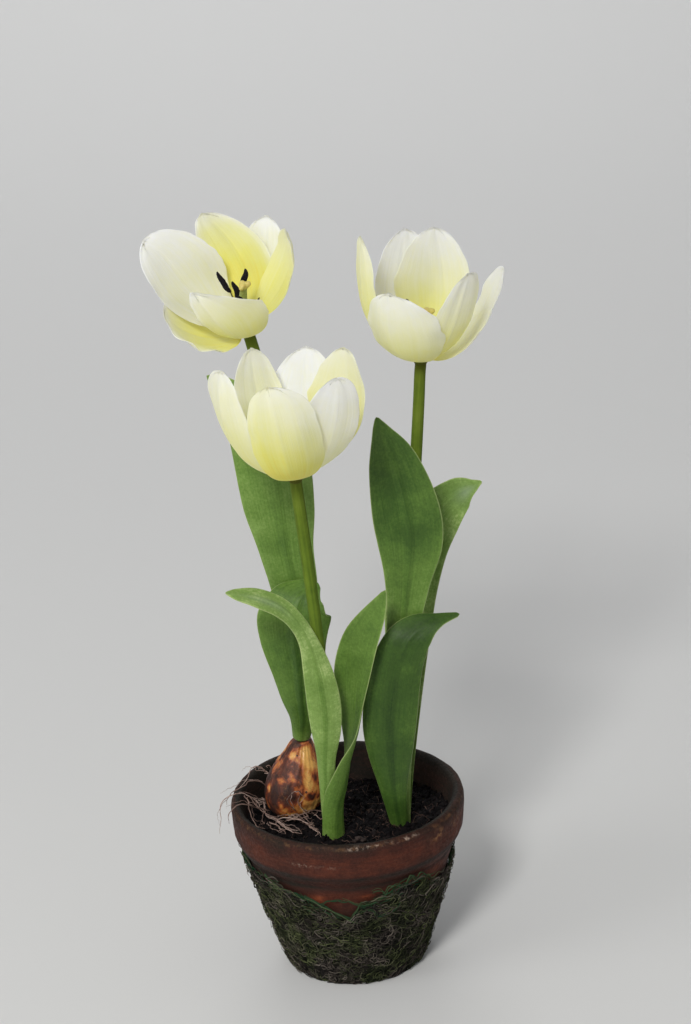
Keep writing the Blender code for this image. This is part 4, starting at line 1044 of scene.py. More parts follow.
def make_moss(material):
    """A dark matted sleeve on the pot, and over it many thin threads. A thread is a path on the cone of
    the body that turns at random and rises and dips like a loose loop."""
    rng = np.random.default_rng(SEED + 2)
    sides, rows = 420, 70
    angle = circle(sides)
    edge = moss_edge(angle) - 4.5 + 1.8 * np.sin(11 * angle) + 1.3 * np.sin(23 * angle + 1.0)
    edge = edge + 1.2 * np.sin(41 * angle)
    up = np.linspace(0, 1, rows)[:, None]
    z = 0.8 + (edge[None] - 0.8) * up
    around = np.stack([60 * np.cos(angle), 60 * np.sin(angle)], -1)[None] + np.zeros((rows, 1, 1))
    place = np.concatenate([around, z[..., None]], -1)
    rough = 1.15
    for size, length, seed in ((0.55, 7.0, 41), (0.45, 3.0, 42), (0.3, 1.6, 43)):
        rough = rough + size * ripple(place, length, seed)
    body = pot_outer(z) + MOSS_GAP
    outer = body + np.clip(rough, 0.15, 3.0) * (1 - 0.7 * up**6) * smooth(z, -2.0, 2.5)
    inner = body - 0.5
    height = np.vstack([z[:1], z, z[-1:]])
    radius = np.vstack([inner[:1], outer, inner[-1:]])
    points = np.stack([radius * np.cos(angle), radius * np.sin(angle), height], -1)
    total = len(points)
    faces = grid_faces(total, sides, wrap=True)
    k = np.arange(sides)
    m = (k + 1) % sides
    last = (total - 1) * sides
    faces = np.vstack([faces, np.stack([m, k, last + k, last + m], -1)])
    flat = points.reshape(-1, 3)
    tone = np.clip(0.06 + 0.06 * ripple(flat, 3.0, 44), 0, 1)
    green = 0.5 + 0.25 * ripple(flat, 22.0, 45)
    put_mesh("moss_mat", flat, faces, material, ["moss_sleeve"],
             values={"tone": tone, "green": green, "wiry": np.zeros(len(flat))})
    count, steps = 2250, 13
    for piece, thick, reach, lift in (("moss_threads", 0.27, 1.0, 1.5),
                                      ("moss_threads_fine", 0.20, 0.85, 2.3)):
        turn = rng.uniform(0, 2 * math.pi, count)
        start_z = 1.2 + (moss_edge(turn) - 1.5) * rng.uniform(0, 1, count) ** 0.85
        s0 = turn * 50
        heading = rng.uniform(0, 2 * math.pi, count)
        bend = rng.normal(0, 0.36, (count, 1)) + rng.normal(0, 0.34, (count, steps))
        way = heading[:, None] + np.cumsum(bend, axis=1)
        step = rng.uniform(0.55, 1.0, (count, 1)) * reach * 1.7
        along = s0[:, None] + np.cumsum(np.cos(way) * step, axis=1)
        rise = start_z[:, None] + np.cumsum(np.sin(way) * step * 0.8, axis=1)
        theta = along / 50
        edge = moss_edge(theta) + rng.uniform(-2.0, 3.6, (count, 1))
        edge = edge + 1.2 * np.sin(theta * 37) + 1.6 * np.sin(theta * 13 + 1.0)
        rise = np.clip(rise, 0.6, edge)
        beats = np.linspace(0, 1, steps)[None] * rng.uniform(2, 6, (count, 1))
        wave = np.abs(np.sin(beats + rng.uniform(0, 3, (count, 1))))
        off = 1.0 + rng.uniform(0.0, 0.9, (count, 1))
        off = off + wave * rng.gamma(2.0, lift / 4.4, (count, 1)).clip(0, 2.3)
        r = pot_outer(rise) + MOSS_GAP + off * smooth(rise, -3.0, 4.0)
        paths = np.stack([r * np.cos(theta), r * np.sin(theta), rise], -1)
        outward = np.stack([np.cos(theta), np.sin(theta), np.zeros_like(theta)], -1)
        taper = np.sin(np.linspace(0.3, math.pi - 0.3, steps)) ** 0.4
        points, faces = tubes(paths, thick * taper * rng.uniform(0.7, 1.4, (count, 1)), 3, guide=outward)
        tone = np.repeat(rng.beta(1.5, 1.9, count), steps * 3)
        where = points.reshape(-1, 3)
        green = 0.50 + 0.20 * ripple(where, 22.0, 45) + np.repeat(rng.normal(0, 0.2, count), steps * 3)
        values = {"tone": tone, "green": green, "wiry": np.zeros(len(where))}
        put_mesh(piece, points, faces, material, values=values)
    make_moss_strands(material, rng)


def make_moss_strands(material, rng):
    """Long wiry green strands that run along the moss's upper edge, with a few loops above it."""
    count, steps = 120, 22
    turn = rng.uniform(0, 2 * math.pi, count)
    t = np.linspace(0, 1, steps)[None]
    length = rng.uniform(8, 26, (count, 1)) * rng.choice([-1, 1], (count, 1))
    theta = turn[:, None] + length * t / 56
    size = rng.uniform(0.3, 1.4, (count, 1))
    wave = size * np.sin(t * rng.uniform(3, 9, (count, 1)) + rng.uniform(0, 6, (count, 1)))
    z = moss_edge(theta) + rng.uniform(-5.5, 3.0, (count, 1)) + wave
    z = np.minimum(z + 0.5 * np.sin(t * 31 + turn[:, None] * 9), 73.5)
    loose = rng.uniform(0.1, 2.0, (count, 1)) * np.abs(np.sin(t * rng.uniform(2, 7, (count, 1))))
    r = pot_outer(z) + 1.3 + loose
    paths = np.stack([r * np.cos(theta), r * np.sin(theta), z], -1)
    # Single strands at the front: angle in degrees and height of points along each
    front = [
        [(264, 66), (267, 64.5), (270, 62), (273.5, 60.5), (277, 61), (280.5, 61.5), (284, 63), (286, 66),
         (285, 69), (282, 70.5), (279.5, 69.5)],
        [(243, 66), (247, 64), (251, 60.5), (255, 59), (259, 56), (264, 52.5), (268, 50), (272, 48)],
        [(252, 61.5), (256, 64), (261, 64.5), (266, 63.5)],
        [(273, 61), (276, 58.5), (280, 55), (283, 52), (288, 51), (293, 54), (296, 58)],
        [(286, 66), (289, 70.5), (292, 71), (296, 69.5)],
        [(219, 74), (222, 71), (226, 68), (231, 67.5), (238, 66), (243, 63.5)],
        [(297, 66), (300, 72), (302, 73.5), (305, 69), (308, 72.5), (312, 69)],
    ]
    made = []
    for keys in front:
        line = through(keys, np.linspace(0, 1, steps))
        a, z = np.radians(line[:, 0]), line[:, 1]
        for k in range(3):
            zz = z + rng.normal(0, 0.5) + 0.35 * np.sin(np.linspace(0, 9, steps) + k * 2)
            rr = pot_outer(zz) + 2.2 + 0.5 * k + 0.5 * np.sin(np.linspace(0, 14, steps) + k)
            aa = a + 0.006 * k
            made.append(np.stack([rr * np.cos(aa), rr * np.sin(aa), np.minimum(zz, 74.5)], -1))
    paths = np.concatenate([paths, np.array(made)])
    total = len(paths)
    outward = unit(paths * np.array([1.0, 1.0, 0.0]))
    taper = np.sin(np.linspace(0.2, math.pi - 0.2, steps)) ** 0.4
    points, faces = tubes(paths, 0.22 * taper * rng.uniform(0.7, 1.3, (total, 1)), 5, guide=outward)
    tone = np.repeat(rng.uniform(0.3, 0.95, total), steps * 5)
    wiry = np.repeat(rng.uniform(0.35, 1.0, total), steps * 5)
    put_mesh("moss_strands", points, faces, material,
             values={"tone": tone, "green": np.full(len(points), 0.8), "wiry": wiry})


# Bulbs and roots

def bulb_points(bulb, rows, sides):
    """Onion form: rings on the line from foot to neck, their radius read from a smooth table."""
    foot, neck, radius = np.array(bulb[0], float), np.array(bulb[1], float), bulb[2]
    t = np.linspace(0, 1, rows)
    table = np.array([(0, 0.30), (0.06, 0.64), (0.16, 0.88), (0.3, 1.0), (0.45, 0.98), (0.6, 0.86),
                      (0.75, 0.66), (0.88, 0.47), (0.96, 0.37), (1, 0.30)])
    ring = np.interp(t, table[:, 0], table[:, 1])
    for _ in range(6):
        ring[1:-1] = ring[1:-1] * 0.5 + (ring[:-2] + ring[2:]) * 0.25
    centre = foot + (neck - foot) * t[:, None]
    angle = circle(sides)
    lobes = 1 + 0.02 * np.sin(3 * angle + 1) + 0.015 * np.sin(5 * angle)
    x = centre[:, 0:1] + ring[:, None] * radius * np.cos(angle) * lobes
    y = centre[:, 1:2] + ring[:, None] * radius * np.sin(angle) * lobes
    return np.stack([x, y, np.repeat(centre[:, 2:3], sides, 1)], -1), t, angle


def close_rings(points):
    """Faces of a stack of rings with a point in the middle of the first and of the last one."""
    rows, sides = points.shape[:2]
    flat = np.vstack([points.reshape(-1, 3), points[0].mean(0), points[-1].mean(0)])
    return flat, ring_faces(rows, sides)


def make_bulbs(material):
    """The three bulbs. Noise drawn out along the bulb says where its papery skin is thick, and the
    skin stands out from the flesh there, with fine ribs."""
    for number, bulb in enumerate((BULB_1, BULB_2, BULB_3), 1):
        rows, sides = (130, 190) if number == 1 else (40, 60)
        points, t, angle = bulb_points(bulb, rows, sides)
        normal = unit(np.cross(np.gradient(points, axis=1), np.gradient(points, axis=0)))
        normal = normal * np.sign((normal * (points - points.mean((0, 1)))).sum(-1, keepdims=True))
        drawn = points * np.array([1.0, 1.0, 0.45])
        patches = ripple(drawn, 15.0, 51) * 0.5 + ripple(drawn, 6.5, 52) * 0.32
        patches = patches + ripple(drawn, 3.0, 53) * 0.14
        turn = np.degrees(angle)[None]
        left = np.exp(-(((turn - 205) % 360) / 60.0) ** 2) + np.exp(-(((205 - turn) % 360) / 60.0) ** 2)
        band = np.exp(-((t[:, None] - 0.42) / 0.13) ** 2)
        paper = 0.37 + 0.40 * patches + 0.32 * left + 0.16 * band - 0.12 * smooth(t, 0.7, 0.9)[:, None]
        paper = paper + 0.12 * smooth(t, 0.955, 0.99)[:, None]
        paper = np.clip(paper - 0.1 * np.exp(-((t[:, None] - 0.2) / 0.1) ** 2), 0, 1)
        lift = 0.30 * smooth(paper, 0.42, 0.56) + 0.10 * ripple(drawn, 2.2, 54) * 0.4
        lift = lift + 0.15 * ripple(points, 12, 55)
        ribs = 0.10 * np.sin(26 * angle + 2 * np.sin(5 * t[:, None]))
        fade = (smooth(t, 0.0, 0.05) * smooth(-t, -1.0, -0.95))[:, None]
        points = points + normal * ((lift + ribs) * fade)[..., None]
        flat, faces = close_rings(points)
        values = {"paper": np.concatenate([paper.ravel(), [0.8, 0.9]])}
        put_mesh(f"tulip_bulb_{number}", flat, faces, material, [f"bulb_{number}"],
                 values=values)


# Routes of single roots on the soil, up the bulb and over the rim
ROOT_ROUTES = [
    [(-46, 12, 92), (-50, 6, 96), (-56.5, 2, 102.2), (-63, -2, 102.8), (-68.4, -4, 99), (-70.5, -6, 91),
     (-70.5, -7, 82.5)],
    [(-44, 2, 91), (-50, -6, 96), (-56, -12, 102), (-61.5, -14, 102.6), (-66.6, -17, 99), (-67.5, -19, 94)],
    [(-44, 20, 96), (-49, 16, 102), (-55, 11, 105.5), (-60, 6, 105), (-66, 2, 103), (-69.2, -1, 98.5)],
    [(-42, 24, 101), (-46, 22, 106), (-50, 17, 110), (-55, 10, 108), (-60, 3, 103.5)],
    [(-40, 22, 96), (-42, 22, 104), (-44, 18, 110), (-46, 12, 112)],
    [(-57, -1, 102), (-55, -7, 99), (-52.5, -13, 92), (-50, -18, 91.2), (-46, -24, 92)],
    [(-54, 2, 100), (-50, -4, 95), (-45, -7, 92), (-40, -10, 91.5), (-34, -18, 92)],
    [(-48, 17, 91), (-46, 4, 91), (-43, -8, 91.5), (-37, -16, 93), (-31, -26, 93.5), (-26, -33, 94.5)],
    [(-31, -12, 92), (-27, -6, 91.5), (-22, -7, 93), (-18, -2, 91), (-14, -6, 90), (-13, -12, 91)],
    [(-27, -9, 92), (-31, -14, 93), (-37, -14, 93.5), (-38, -20, 94), (-34, -26, 94), (-28, -30, 95)],
    [(-34, -13, 92), (-27, -18, 94), (-21, -26, 94), (-17, -33, 95), (-14, -44, 96)],
    [(-29, -10.5, 96), (-32, -13.5, 104), (-29.5, -14.5, 109), (-26, -13, 107), (-26.5, -12.5, 100),
     (-22, -13, 93), (-17, -10, 92)],
    [(-39, -18, 94), (-35, -27, 95), (-30, -35, 96), (-24, -40, 97)],
    [(-44, -14, 92), (-40, -24, 94.5), (-36, -33, 96), (-33, -40, 97)],
    [(-20, -20, 93), (-22, -29, 95), (-19, -37, 96.5), (-20, -43, 97.5)],
    [(-52, 8, 96), (-49, -2, 93), (-47, -12, 92), (-49, -20, 93)],
]


def make_roots(material):
    """Strands along the routes, each doubled by a thinner neighbour, and short ones by rule in a mat
    round the bulb's foot."""
    rng = np.random.default_rng(SEED + 3)
    steps = 34
    paths, thick = [], []
    for keys in ROOT_ROUTES:
        line = through(keys, np.linspace(0, 1, steps))
        for k in range(2):
            wave = np.cumsum(rng.normal(0, 0.34, (steps, 3)), axis=0) * (0.6 + 0.8 * k)
            wave += 0.6 * np.sin(np.linspace(0, 15, steps)[:, None] + rng.uniform(0, 6, 3))
            wave[:, 2] = np.abs(wave[:, 2]) * 0.4
            cut = line if k == 0 else line[: int(steps * rng.uniform(0.5, 0.95))]
            again = through(cut, np.linspace(0, 1, steps))
            paths.append(again + wave)
            thick.append((0.32 if k == 0 else 0.18) * rng.uniform(0.85, 1.15))
    count = 18
    turn = rng.uniform(math.radians(110), math.radians(325), count)
    foot = np.stack([BULB_1[0][0] + 16.5 * np.cos(turn), BULB_1[0][1] + 16.5 * np.sin(turn)], -1)
    heads = turn + rng.normal(0, 0.7, count)
    length = rng.uniform(9, 26, (count, 1)) / steps
    wander = thread_paths(foot, heads, steps, length, 0.42, rng, lambda x, y: soil_height(x, y) + 1.4)
    beats = np.linspace(0, 1, steps)[None] * rng.uniform(3, 9, (count, 1))
    wander[..., 2] += np.abs(np.sin(beats)) * rng.uniform(0.2, 3.2, (count, 1))
    wander = wander[np.hypot(wander[..., 0], wander[..., 1]).max(1) < 55]
    paths = np.concatenate([np.array(paths), wander])
    thick = np.concatenate([thick, rng.uniform(0.14, 0.26, len(wander))])
    total = len(paths)
    taper = np.interp(np.linspace(0, 1, steps), (0, 0.1, 0.7, 1), (0.9, 1.0, 0.8, 0.25))
    knots = 1 + 0.12 * np.sin(np.linspace(0, 40, steps)[None] + rng.uniform(0, 6, (total, 1)))
    points, faces = tubes(paths, thick[:, None] * taper * knots, 6)
    tone = np.repeat(rng.beta(2.4, 1.8, total), steps * 6)
    put_mesh("old_roots", points, faces, material, ["bulb_roots"], values={"tone": tone})


# Stems, leaves and petals

def flower_axes(lean):
    """Two directions across a flower and one along its axis, which leans by an angle to an azimuth."""
    turn, angle = math.radians(lean[0]), math.radians(lean[1])
    up = np.array([math.sin(angle) * math.cos(turn), math.sin(angle) * math.sin(turn), math.cos(angle)])
    first = unit(np.array([1.0, 0.0, 0.0]) - up * up[0])
    return first, np.cross(up, first), up


def make_stems(material):
    """A round stem whose radius varies by a few hundredths, swollen where the petals stand."""
    for number, keys in STEMS.items():
        steps, sides = 120, 28
        path = through(keys, np.linspace(0, 1, 13))
        _, _, up = flower_axes(FLOWERS[number][1])
        base = np.array(FLOWERS[number][0], float)
        path[-1] = base - up * 6.0
        head = [base + up * h for h in (-5.4, -4.6, -2.5, 0, 1.2, 1.7, 2.0)]
        path = np.vstack([through(path, np.linspace(0, 1, steps)), head])
        total = len(path)
        t = np.linspace(0, 1, total)
        radii = STEM_RADIUS * (1 + 0.025 * np.sin(9 * t + number) + 0.05 * (1 - t))
        radii[-len(head):] = (STEM_RADIUS + 0.3, 3.8, RECEPTACLE_RADIUS, RECEPTACLE_RADIUS, 4.0, 3.2, 1.6)
        points, faces = tubes(path[None], radii[None], sides, guide=(0.0, 1.0, 0.02))
        turn = np.tile(np.arange(sides) / sides, total)
        along = np.repeat(np.linspace(0, 2.2, total), sides)
        uv = np.stack([np.abs(turn * 2 - 1), along], -1)
        brown = np.repeat(0.75 * smooth(t, 0.80, 1.0) + 0.2 * smooth(t, 0.55, 0.8), sides)
        put_mesh(f"tulip_stem_{number}", points, faces, material, [f"stem_{number}"], uv=uv,
                 values={"brown": brown})


def leaf_surface(keys, wave, rows, columns):
    """At each station the blade is an arc round the side it curls towards. Its margins wave along the
    length, its middle is pressed in, and fine ribs run along it."""
    table = np.asarray(keys, float)
    turn, rise = np.radians(table[:, 5]), np.radians(table[:, 6])
    towards = np.stack([np.cos(turn) * np.cos(rise), np.sin(turn) * np.cos(rise), np.sin(rise)], -1)
    u = 1 - (1 - np.linspace(0, 1, rows + 1)) ** 1.15
    made = through(np.hstack([table[:, :5], towards, table[:, 7:9]]), u)
    middle, towards = made[:, :3], made[:, 5:8]
    along = unit(np.gradient(middle, axis=0))
    towards = unit(towards - along * (towards * along).sum(-1, keepdims=True))
    across = np.cross(along, towards)
    v = spread(columns + 1)
    half = np.maximum(np.where(v < 0, made[:, 3:4], made[:, 4:5]), 0.25)
    half = half * np.sqrt(np.clip((1.0 - u[:, None]) / 0.012, 0.02, 1))
    curl = np.radians(np.where(v < 0, made[:, 8:9], made[:, 9:10]))
    curl = np.where(np.abs(curl) < 1e-3, 1e-3, curl)
    sideways = half / curl * np.sin(curl * np.abs(v)) * np.sign(v)
    lift = half / curl * (1 - np.cos(curl * np.abs(v)))
    size, times, phase, _, groove = wave
    fade = np.sin(math.pi * u)[:, None] ** 0.7 * np.clip(half / 12, 0, 1)
    lift = lift + size * fade * v**2 * np.sin(2 * math.pi * times * u[:, None] + phase + 1.3 * (v > 0))
    lift = lift + 0.25 * fade * v**4 * np.sin(2 * math.pi * 5.3 * u[:, None] + phase * 2 + 2.0 * (v > 0))
    lift = lift + groove * fade * (np.exp(-((v / 0.10) ** 2)) - 0.35 * np.exp(-((v / 0.3) ** 2)))
    lift = lift + 0.05 * fade * np.sin(v * 34.0)
    points = middle[:, None] + across[:, None] * sideways[..., None] + towards[:, None] * lift[..., None]
    return points, u, v, half


def make_leaves(material):
    """Each leaf's blade, with numbers for its light margin, its darker middle, the soil at its base
    and the grey bloom of two leaves."""
    for name, keys in LEAVES.items():
        wave = LEAF_WAVES[name]
        rows, columns = 130, 36
        grid, u, v, half = leaf_surface(keys, wave, rows, columns)
        points, faces, core = blade_mesh(grid, LEAF_THICKNESS)
        uv = np.stack([np.abs(v) * 0.5 * np.sign(v) + 0.5 + 0 * u[:, None], u[:, None] * 2.0 + 0 * v], -1)
        edge = (1 - np.abs(v)) * half
        margin = np.clip(1 - edge / 0.55, 0, 1) ** 1.5 * 0.75 * smooth(u, 0.02, 0.2)[:, None]
        light = wave[3] + 0.10 * np.abs(v) ** 2 + 0.10 * (smooth(u, 0.75, 1.0)[:, None] - 0.5)
        light = light - 0.20 * np.exp(-((v / 0.16) ** 2)) * smooth(-u, -0.75, -0.3)[:, None]
        light = light + 0.30 * smooth(-u, -0.08, 0.0)[:, None]
        if name == "leaf_3_tall":
            light = light + 0.30 * smooth(-u, -0.62, -0.42)[:, None]
        if name == "leaf_3_front":
            light = light - 0.12 * smooth(u, 0.62, 0.80)[:, None]
        dirt = smooth(-u, -0.24, -0.05)[:, None] + 0 * v
        bloom = np.zeros(light.shape)
        if name == "leaf_3_back":
            bloom = 0.5 * np.exp(-((u[:, None] - 0.82) / 0.06) ** 2 - ((v - 0.25) / 0.4) ** 2)
        if name == "leaf_2_left":
            bloom = 0.35 * np.exp(-((u[:, None] - 0.78) / 0.09) ** 2 - ((v + 0.1) / 0.35) ** 2)
        values = {key: both(value, core) for key, value in
                  (("margin", margin), ("light", light), ("dirt", dirt), ("bloom", bloom))}
        put_mesh("tulip_" + name, points, faces, material, [name], uv=both(uv, core),
                 values=values, rim=rim_points(uv, core))


def petal_surface(flower, row, letter, rows, columns):
    """A petal follows a curve that starts nearly level and turns upright; across, it is an arc round
    the flower's axis. Long shallow folds and a waved margin lie on it."""
    base, lean, _ = FLOWERS[flower]
    azimuth, length, right, left, start, end, tip, swing, layer, notch, twist, blunt = row
    first, second, up = flower_axes(lean)
    s = np.linspace(0, 1, 120)
    tip_bend = tip * np.clip((s - 0.55) / 0.45, 0, 1) ** 2
    angle = np.radians(end + (start - end) * (1 - s) ** PETAL_RELAX + tip_bend)
    step = length / (len(s) - 1)
    radius = np.concatenate([[0], np.cumsum((np.sin(angle[1:]) + np.sin(angle[:-1])) / 2 * step)])
    height = np.concatenate([[0], np.cumsum((np.cos(angle[1:]) + np.cos(angle[:-1])) / 2 * step)])
    radius = radius + layer * np.cos(angle)
    height = height - layer * np.sin(angle)
    radius = radius - radius[0] + CLAW
    u = np.sin(np.linspace(0, 1, rows + 1) * math.pi / 2 * 0.999) / math.sin(math.pi / 2 * 0.999)
    v = spread(columns + 1)
    lower = np.sin(math.pi / 2 * np.clip(u / WIDEST, 0, 1)) ** 0.8
    upper = np.sqrt(np.clip(1 - np.clip((u - WIDEST) / (1 - WIDEST), 0, 1) ** blunt, 0, 1))
    shape = np.where(u < WIDEST, lower, upper)[:, None]
    half = np.maximum(shape * np.where(v < 0, right, left) + 2.2 * np.exp(-u * 8)[:, None], 0.15)
    r = np.interp(u, s, radius)[:, None]
    h = np.interp(u, s, height)[:, None]
    a = np.interp(u, s, angle)[:, None]
    seed = flower * 10 + PETAL_LETTERS.index(letter)
    phase = seed * 1.7
    grow = smooth(u, 0.15, 0.7)[:, None]
    uneven = 1 + 0.018 * np.sin(5.2 * u[:, None] * 2 + phase + 2 * (v > 0)) * grow
    uneven = uneven + 0.011 * np.sin(29 * u[:, None] + 2 * phase + 3 * (v > 0)) * grow
    uneven = uneven + 0.008 * np.sin(61 * u[:, None] + 3 * phase + 1 * (v > 0)) * grow
    bend = np.maximum(r, CLAW)
    arc = v * half * uneven / bend
    out = r - bend + bend * np.cos(arc)
    side = bend * np.sin(arc)
    dent = 1.5 * notch * np.exp(-((v / 0.12) ** 2)) * np.clip((u[:, None] - 0.6) / 0.4, 0, 1) ** 3
    ragged = 0.45 * np.sin(v * 7 + phase) + 0.30 * np.sin(v * 17 + 3 * phase) + 0.18 * np.sin(v * 37 + phase)
    dent = dent + ragged * smooth(u, 0.75, 1.0)[:, None]
    fold = 0.34 * grow * (np.sin(v * 6.0 + phase) * 0.5 + np.sin(v * 11 + phase * 2) * 0.25)
    fold = fold + 0.45 * np.abs(v) ** 3 * grow * np.sin(u[:, None] * 9 + phase + 2.5 * (v > 0))
    ruffle = RUFFLES.get((flower, letter), CALM_RUFFLE)
    fold = fold + ruffle * np.abs(v) ** 4 * grow * np.sin(u[:, None] * 24 + 2 * phase)
    rib = -0.45 * np.exp(-((v / 0.07) ** 2)) * smooth(u, 0.1, 0.4)[:, None] * smooth(-u, -1.0, -0.8)[:, None]
    lift = (fold + rib) * (1 - smooth(u, 0.93, 1.0)[:, None])
    out = out - dent * np.sin(a) - lift * np.cos(a)
    h = h - dent * np.cos(a) + lift * np.sin(a) + 0 * arc
    roll = math.radians(twist) * smooth(u, 0.1, 0.7)[:, None]
    out = out + side * np.sin(roll) * np.cos(a)
    h = h - side * np.sin(roll) * np.sin(a)
    side = side * np.cos(roll)
    turn = np.radians(azimuth + swing * u**1.5)[:, None]
    x = out * np.cos(turn) - side * np.sin(turn)
    y = out * np.sin(turn) + side * np.cos(turn)
    points = np.array(base, float) + x[..., None] * first + y[..., None] * second + h[..., None] * up
    return points, u, v


def make_petals(material):
    """Each petal's blade. Its share of yellow falls from the base to the tip and towards the margin,
    by the petal's own tint."""
    for flower, (_, _, rows_of) in FLOWERS.items():
        for letter, row, tint in zip(PETAL_LETTERS, rows_of, PETAL_TINTS[flower]):
            rows, columns = 64, 40
            grid, u, v = petal_surface(flower, row, letter, rows, columns)
            points, faces, core = blade_mesh(grid, PETAL_THICKNESS)
            uv = np.stack([(v * 0.5 + 0.5) + 0 * u[:, None], u[:, None] + 0 * v], -1)
            over, low, right, streak, rim = tint
            u2 = u[:, None]
            yellow = over * (0.75 + 0.5 * np.exp(-((u2 - 0.45) / 0.3) ** 2)) + low * (1 - u2) ** 1.6
            yellow = yellow + right * v * (0.4 + 0.6 * u2)
            yellow = yellow * (1 - (1 - rim) * np.abs(v) ** 4 * smooth(u2, 0.2, 0.6))
            yellow = yellow * (1 - (1 - rim) * 0.8 * smooth(u2, 0.82, 1.0)) + 0.55 * np.exp(-u2 / 0.06)
            streaks = streak * (0.3 + 0.7 * (1 - u2)) + 0 * v
            veined = 1 - smooth(u2, 0.80, 0.95) + 0 * v
            streaks = streaks * (0.3 + 0.7 * veined)
            values = {"yellow": both(np.clip(yellow, 0, 1), core), "streak": both(streaks, core),
                      "veined": both(veined, core)}
            name = f"flower_{flower}_petal_{letter}"
            put_mesh("tulip_" + name, points, faces, material, [name], uv=both(uv, core),
                     values=values, rim=rim_points(uv, core))


def make_hearts(anther, green):
    """A green three-sided column with a stigma of three lobes, and six stamens: a thin stalk that
    carries a long black anther with a groove down it."""
    for flower, (base, lean, _) in FLOWERS.items():
        first, second, up = flower_axes(lean)
        foot = np.array(base, float) + up * 2.3
        tall, slant, stamens = HEARTS[flower]
        sides = 48
        angle = circle(sides)
        part = np.linspace(0, 1, 70)
        radii = np.interp(part, [0, 0.1, 0.35, 0.65, 0.82, 0.87, 0.92, 0.98, 1.0],
                          [1.7, 2.2, 2.4, 2.1, 1.8, 2.5, 2.9, 2.2, 0.5])
        ridge = np.interp(part, [0, 0.5, 0.8, 0.88, 1], [0.06, 0.10, 0.10, 0.34, 0.42])
        r = radii[:, None] * (1 + ridge[:, None] * np.cos(3 * angle))
        spine = foot + (tall * part)[:, None] * up + (slant * part**1.6)[:, None] * first
        round_axis = np.cos(angle)[:, None] * first + np.sin(angle)[:, None] * second
        grid = spine[:, None] + r[..., None] * round_axis
        flat, faces = close_rings(grid)
        stigma = np.concatenate([np.repeat(smooth(part, 0.80, 0.88), sides), [0, 1]])
        put_mesh(f"tulip_pistil_{flower}", flat, faces, green, [f"flower_{flower}_pistil"],
                 values={"stigma": stigma})
        points, faces, stalk, count = [], [], [], 0
        for k, (turn, spread, high, lean_out, lean_left) in enumerate(stamens):
            turn = math.radians(turn)
            away = math.cos(turn) * first + math.sin(turn) * second
            aside = -math.sin(turn) * first + math.cos(turn) * second
            keys = [foot + away * 2.6 + up * 0.3,
                    foot + away * (2.6 + 0.45 * (spread - 2.6)) + up * high * 0.55,
                    foot + away * spread + up * high]
            line = through(keys, np.linspace(0, 1, 16))
            lean_out, lean_left = math.radians(lean_out), math.radians(lean_left)
            tilt = unit(away * math.tan(lean_out) + aside * math.tan(lean_left) + up)
            t = np.linspace(0, 1, 30)
            spine = line[-1] - tilt * 0.9 + t[:, None] * ANTHER_LENGTH * tilt
            bow = (np.sin(math.pi * t) * 0.8 + 0.25 * np.sin(9 * t + k)) * (-1) ** k
            spine = spine + bow[:, None] * aside
            side = unit(np.cross(tilt, away))
            out = np.cross(side, tilt)
            ring = circle(22)
            fat = np.clip(np.sin(math.pi * np.clip(t, 0.012, 0.988)), 0, 1) ** 0.38 * (1.42 - 0.35 * t)
            fat = fat[:, None] * (1.05 + 0.28 * np.cos(2 * ring))
            round_spine = np.cos(ring)[:, None] * side + 0.78 * np.sin(ring)[:, None] * out
            grid = spine[:, None] + fat[..., None] * round_spine
            grid = grid + 0.14 * ripple(grid, 1.6, 61 + k)[..., None] * out
            made, sides_of = tubes(line[None], np.linspace(0.6, 0.32, 16)[None], 8, guide=(0.2, 0.9, 0.3))
            for piece, piece_faces, value in ((made, sides_of, 1.0), (*close_rings(grid), 0.0)):
                points.append(piece)
                faces.append(piece_faces + count)
                stalk.append(np.full(len(piece), value))
                count += len(piece)
        put_mesh(f"tulip_stamens_{flower}", np.vstack(points), np.vstack(faces), anther,
                 [f"flower_{flower}_stamens"], values={"stalk": np.concatenate(stalk)})


# Stage

def make_stage():
    """A sheet of paper that lies flat under the pot and rises far behind it in a wide curve."""
    rows = []
    for y in np.linspace(-4.0, 1.6, 12):
        rows.append((y, 0.0))
    for a in np.radians(np.linspace(6, 84, 22)):
        rows.append((1.6 + 1.6 * math.sin(a), 1.6 - 1.6 * math.cos(a)))
    rows.append((3.2, 4.0))
    x = np.linspace(-4.5, 4.5, 9)
    points = np.array([[(xx, y, z) for xx in x] for y, z in rows]) / MM
    mesh = bpy.data.meshes.new("paper_sweep")
    flat = points.reshape(-1, 3) * MM
    mesh.from_pydata(flat.tolist(), [], grid_faces(len(rows), len(x)).tolist())
    mesh.shade_smooth()
    obj = bpy.data.objects.new("paper_sweep", mesh)
    mesh.materials.append(make_paper_material("pale_paper", PAPER_COLOUR))
    bpy.context.scene.collection.objects.link(obj)


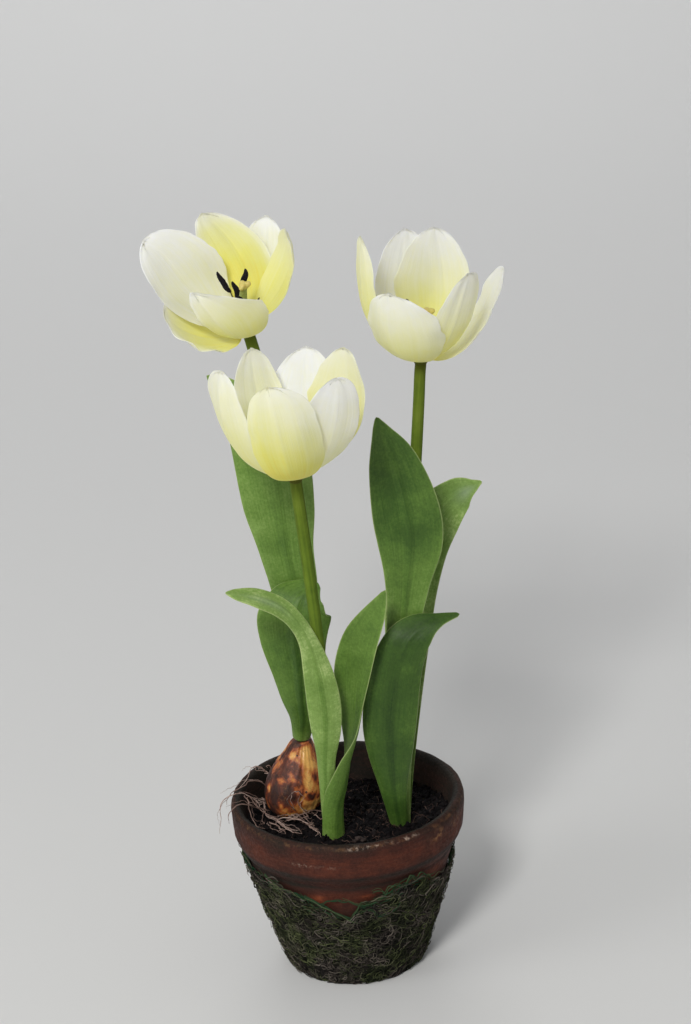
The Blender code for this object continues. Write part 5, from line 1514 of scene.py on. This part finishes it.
def make_lights():
    """A soft light in front, high and a little to the left, a weak wide one from the left, one above
    the paper behind the pot, and even light all round."""
    for name, place, aim, size, power, colour in (
        ("key_light", (-0.66, -2.3, 2.24), (0.0, 0.1, 0.2), 0.6, 58.0, (1.0, 0.99, 0.965)),
        ("left_light", (-2.1, -0.9, 1.15), (0.0, 0.0, 0.1), 1.1, 13.0, (1.0, 0.995, 0.98)),
        ("top_light", (-0.1, 2.5, 2.3), (-0.1, 2.8, 0.2), 1.6, 22.0, (0.99, 0.995, 1.0)),
    ):
        lamp = bpy.data.lights.new(name, "AREA")
        lamp.size = size
        lamp.energy = power
        lamp.color = colour
        obj = bpy.data.objects.new(name, lamp)
        back = unit(np.array(place) - np.array(aim))
        across = unit(np.cross([0.0, 0.3, 1.0], back))
        turn = Matrix(np.stack([across, np.cross(back, across), back], -1).tolist()).to_4x4()
        obj.matrix_world = Matrix.Translation(place) @ turn
        bpy.context.scene.collection.objects.link(obj)
    world = bpy.data.worlds.new("even_light")
    world.use_nodes = True
    back = world.node_tree.nodes["Background"]
    back.inputs[0].default_value = (0.97, 0.98, 1.0, 1.0)
    back.inputs[1].default_value = EVEN_LIGHT
    bpy.context.scene.world = world


def make_camera():
    """The photograph's viewpoint: its yaw, pitch and roll, and its focal length in pixels."""
    yaw, pitch, roll = (math.radians(a) for a in (CAMERA_YAW, CAMERA_PITCH, CAMERA_ROLL))
    ahead = np.array([math.sin(yaw) * math.cos(pitch), math.cos(yaw) * math.cos(pitch), -math.sin(pitch)])
    right = unit(np.cross(ahead, [0.0, 0.0, 1.0]))
    top = np.cross(right, ahead)
    side = right * math.cos(roll) + top * math.sin(roll)
    over = -right * math.sin(roll) + top * math.cos(roll)
    lens = bpy.data.cameras.new("photo_camera")
    lens.sensor_fit = "HORIZONTAL"
    lens.sensor_width = 36.0
    lens.lens = FOCAL_PIXELS * 36.0 / PHOTO_WIDTH
    lens.clip_start = 0.05
    lens.clip_end = 50.0
    obj = bpy.data.objects.new("photo_camera", lens)
    turn = Matrix(np.stack([side, over, -ahead], -1).tolist()).to_4x4()
    obj.matrix_world = Matrix.Translation(CAMERA_PLACE) @ turn
    bpy.context.scene.collection.objects.link(obj)
    bpy.context.scene.camera = obj


make_camera()
make_lights()
make_stage()
bpy.context.scene.view_settings.view_transform = "Standard"

make_pot(make_clay_material())
ROOT_LOOK = make_root_material()
make_soil(make_soil_material())
make_soil_threads(ROOT_LOOK)
make_moss(make_moss_material())
make_bulbs(make_bulb_material())
make_roots(ROOT_LOOK)
make_stems(make_stem_material())
make_leaves(make_leaf_material())
make_petals(make_petal_material())
make_hearts(make_anther_material(), make_pistil_material())
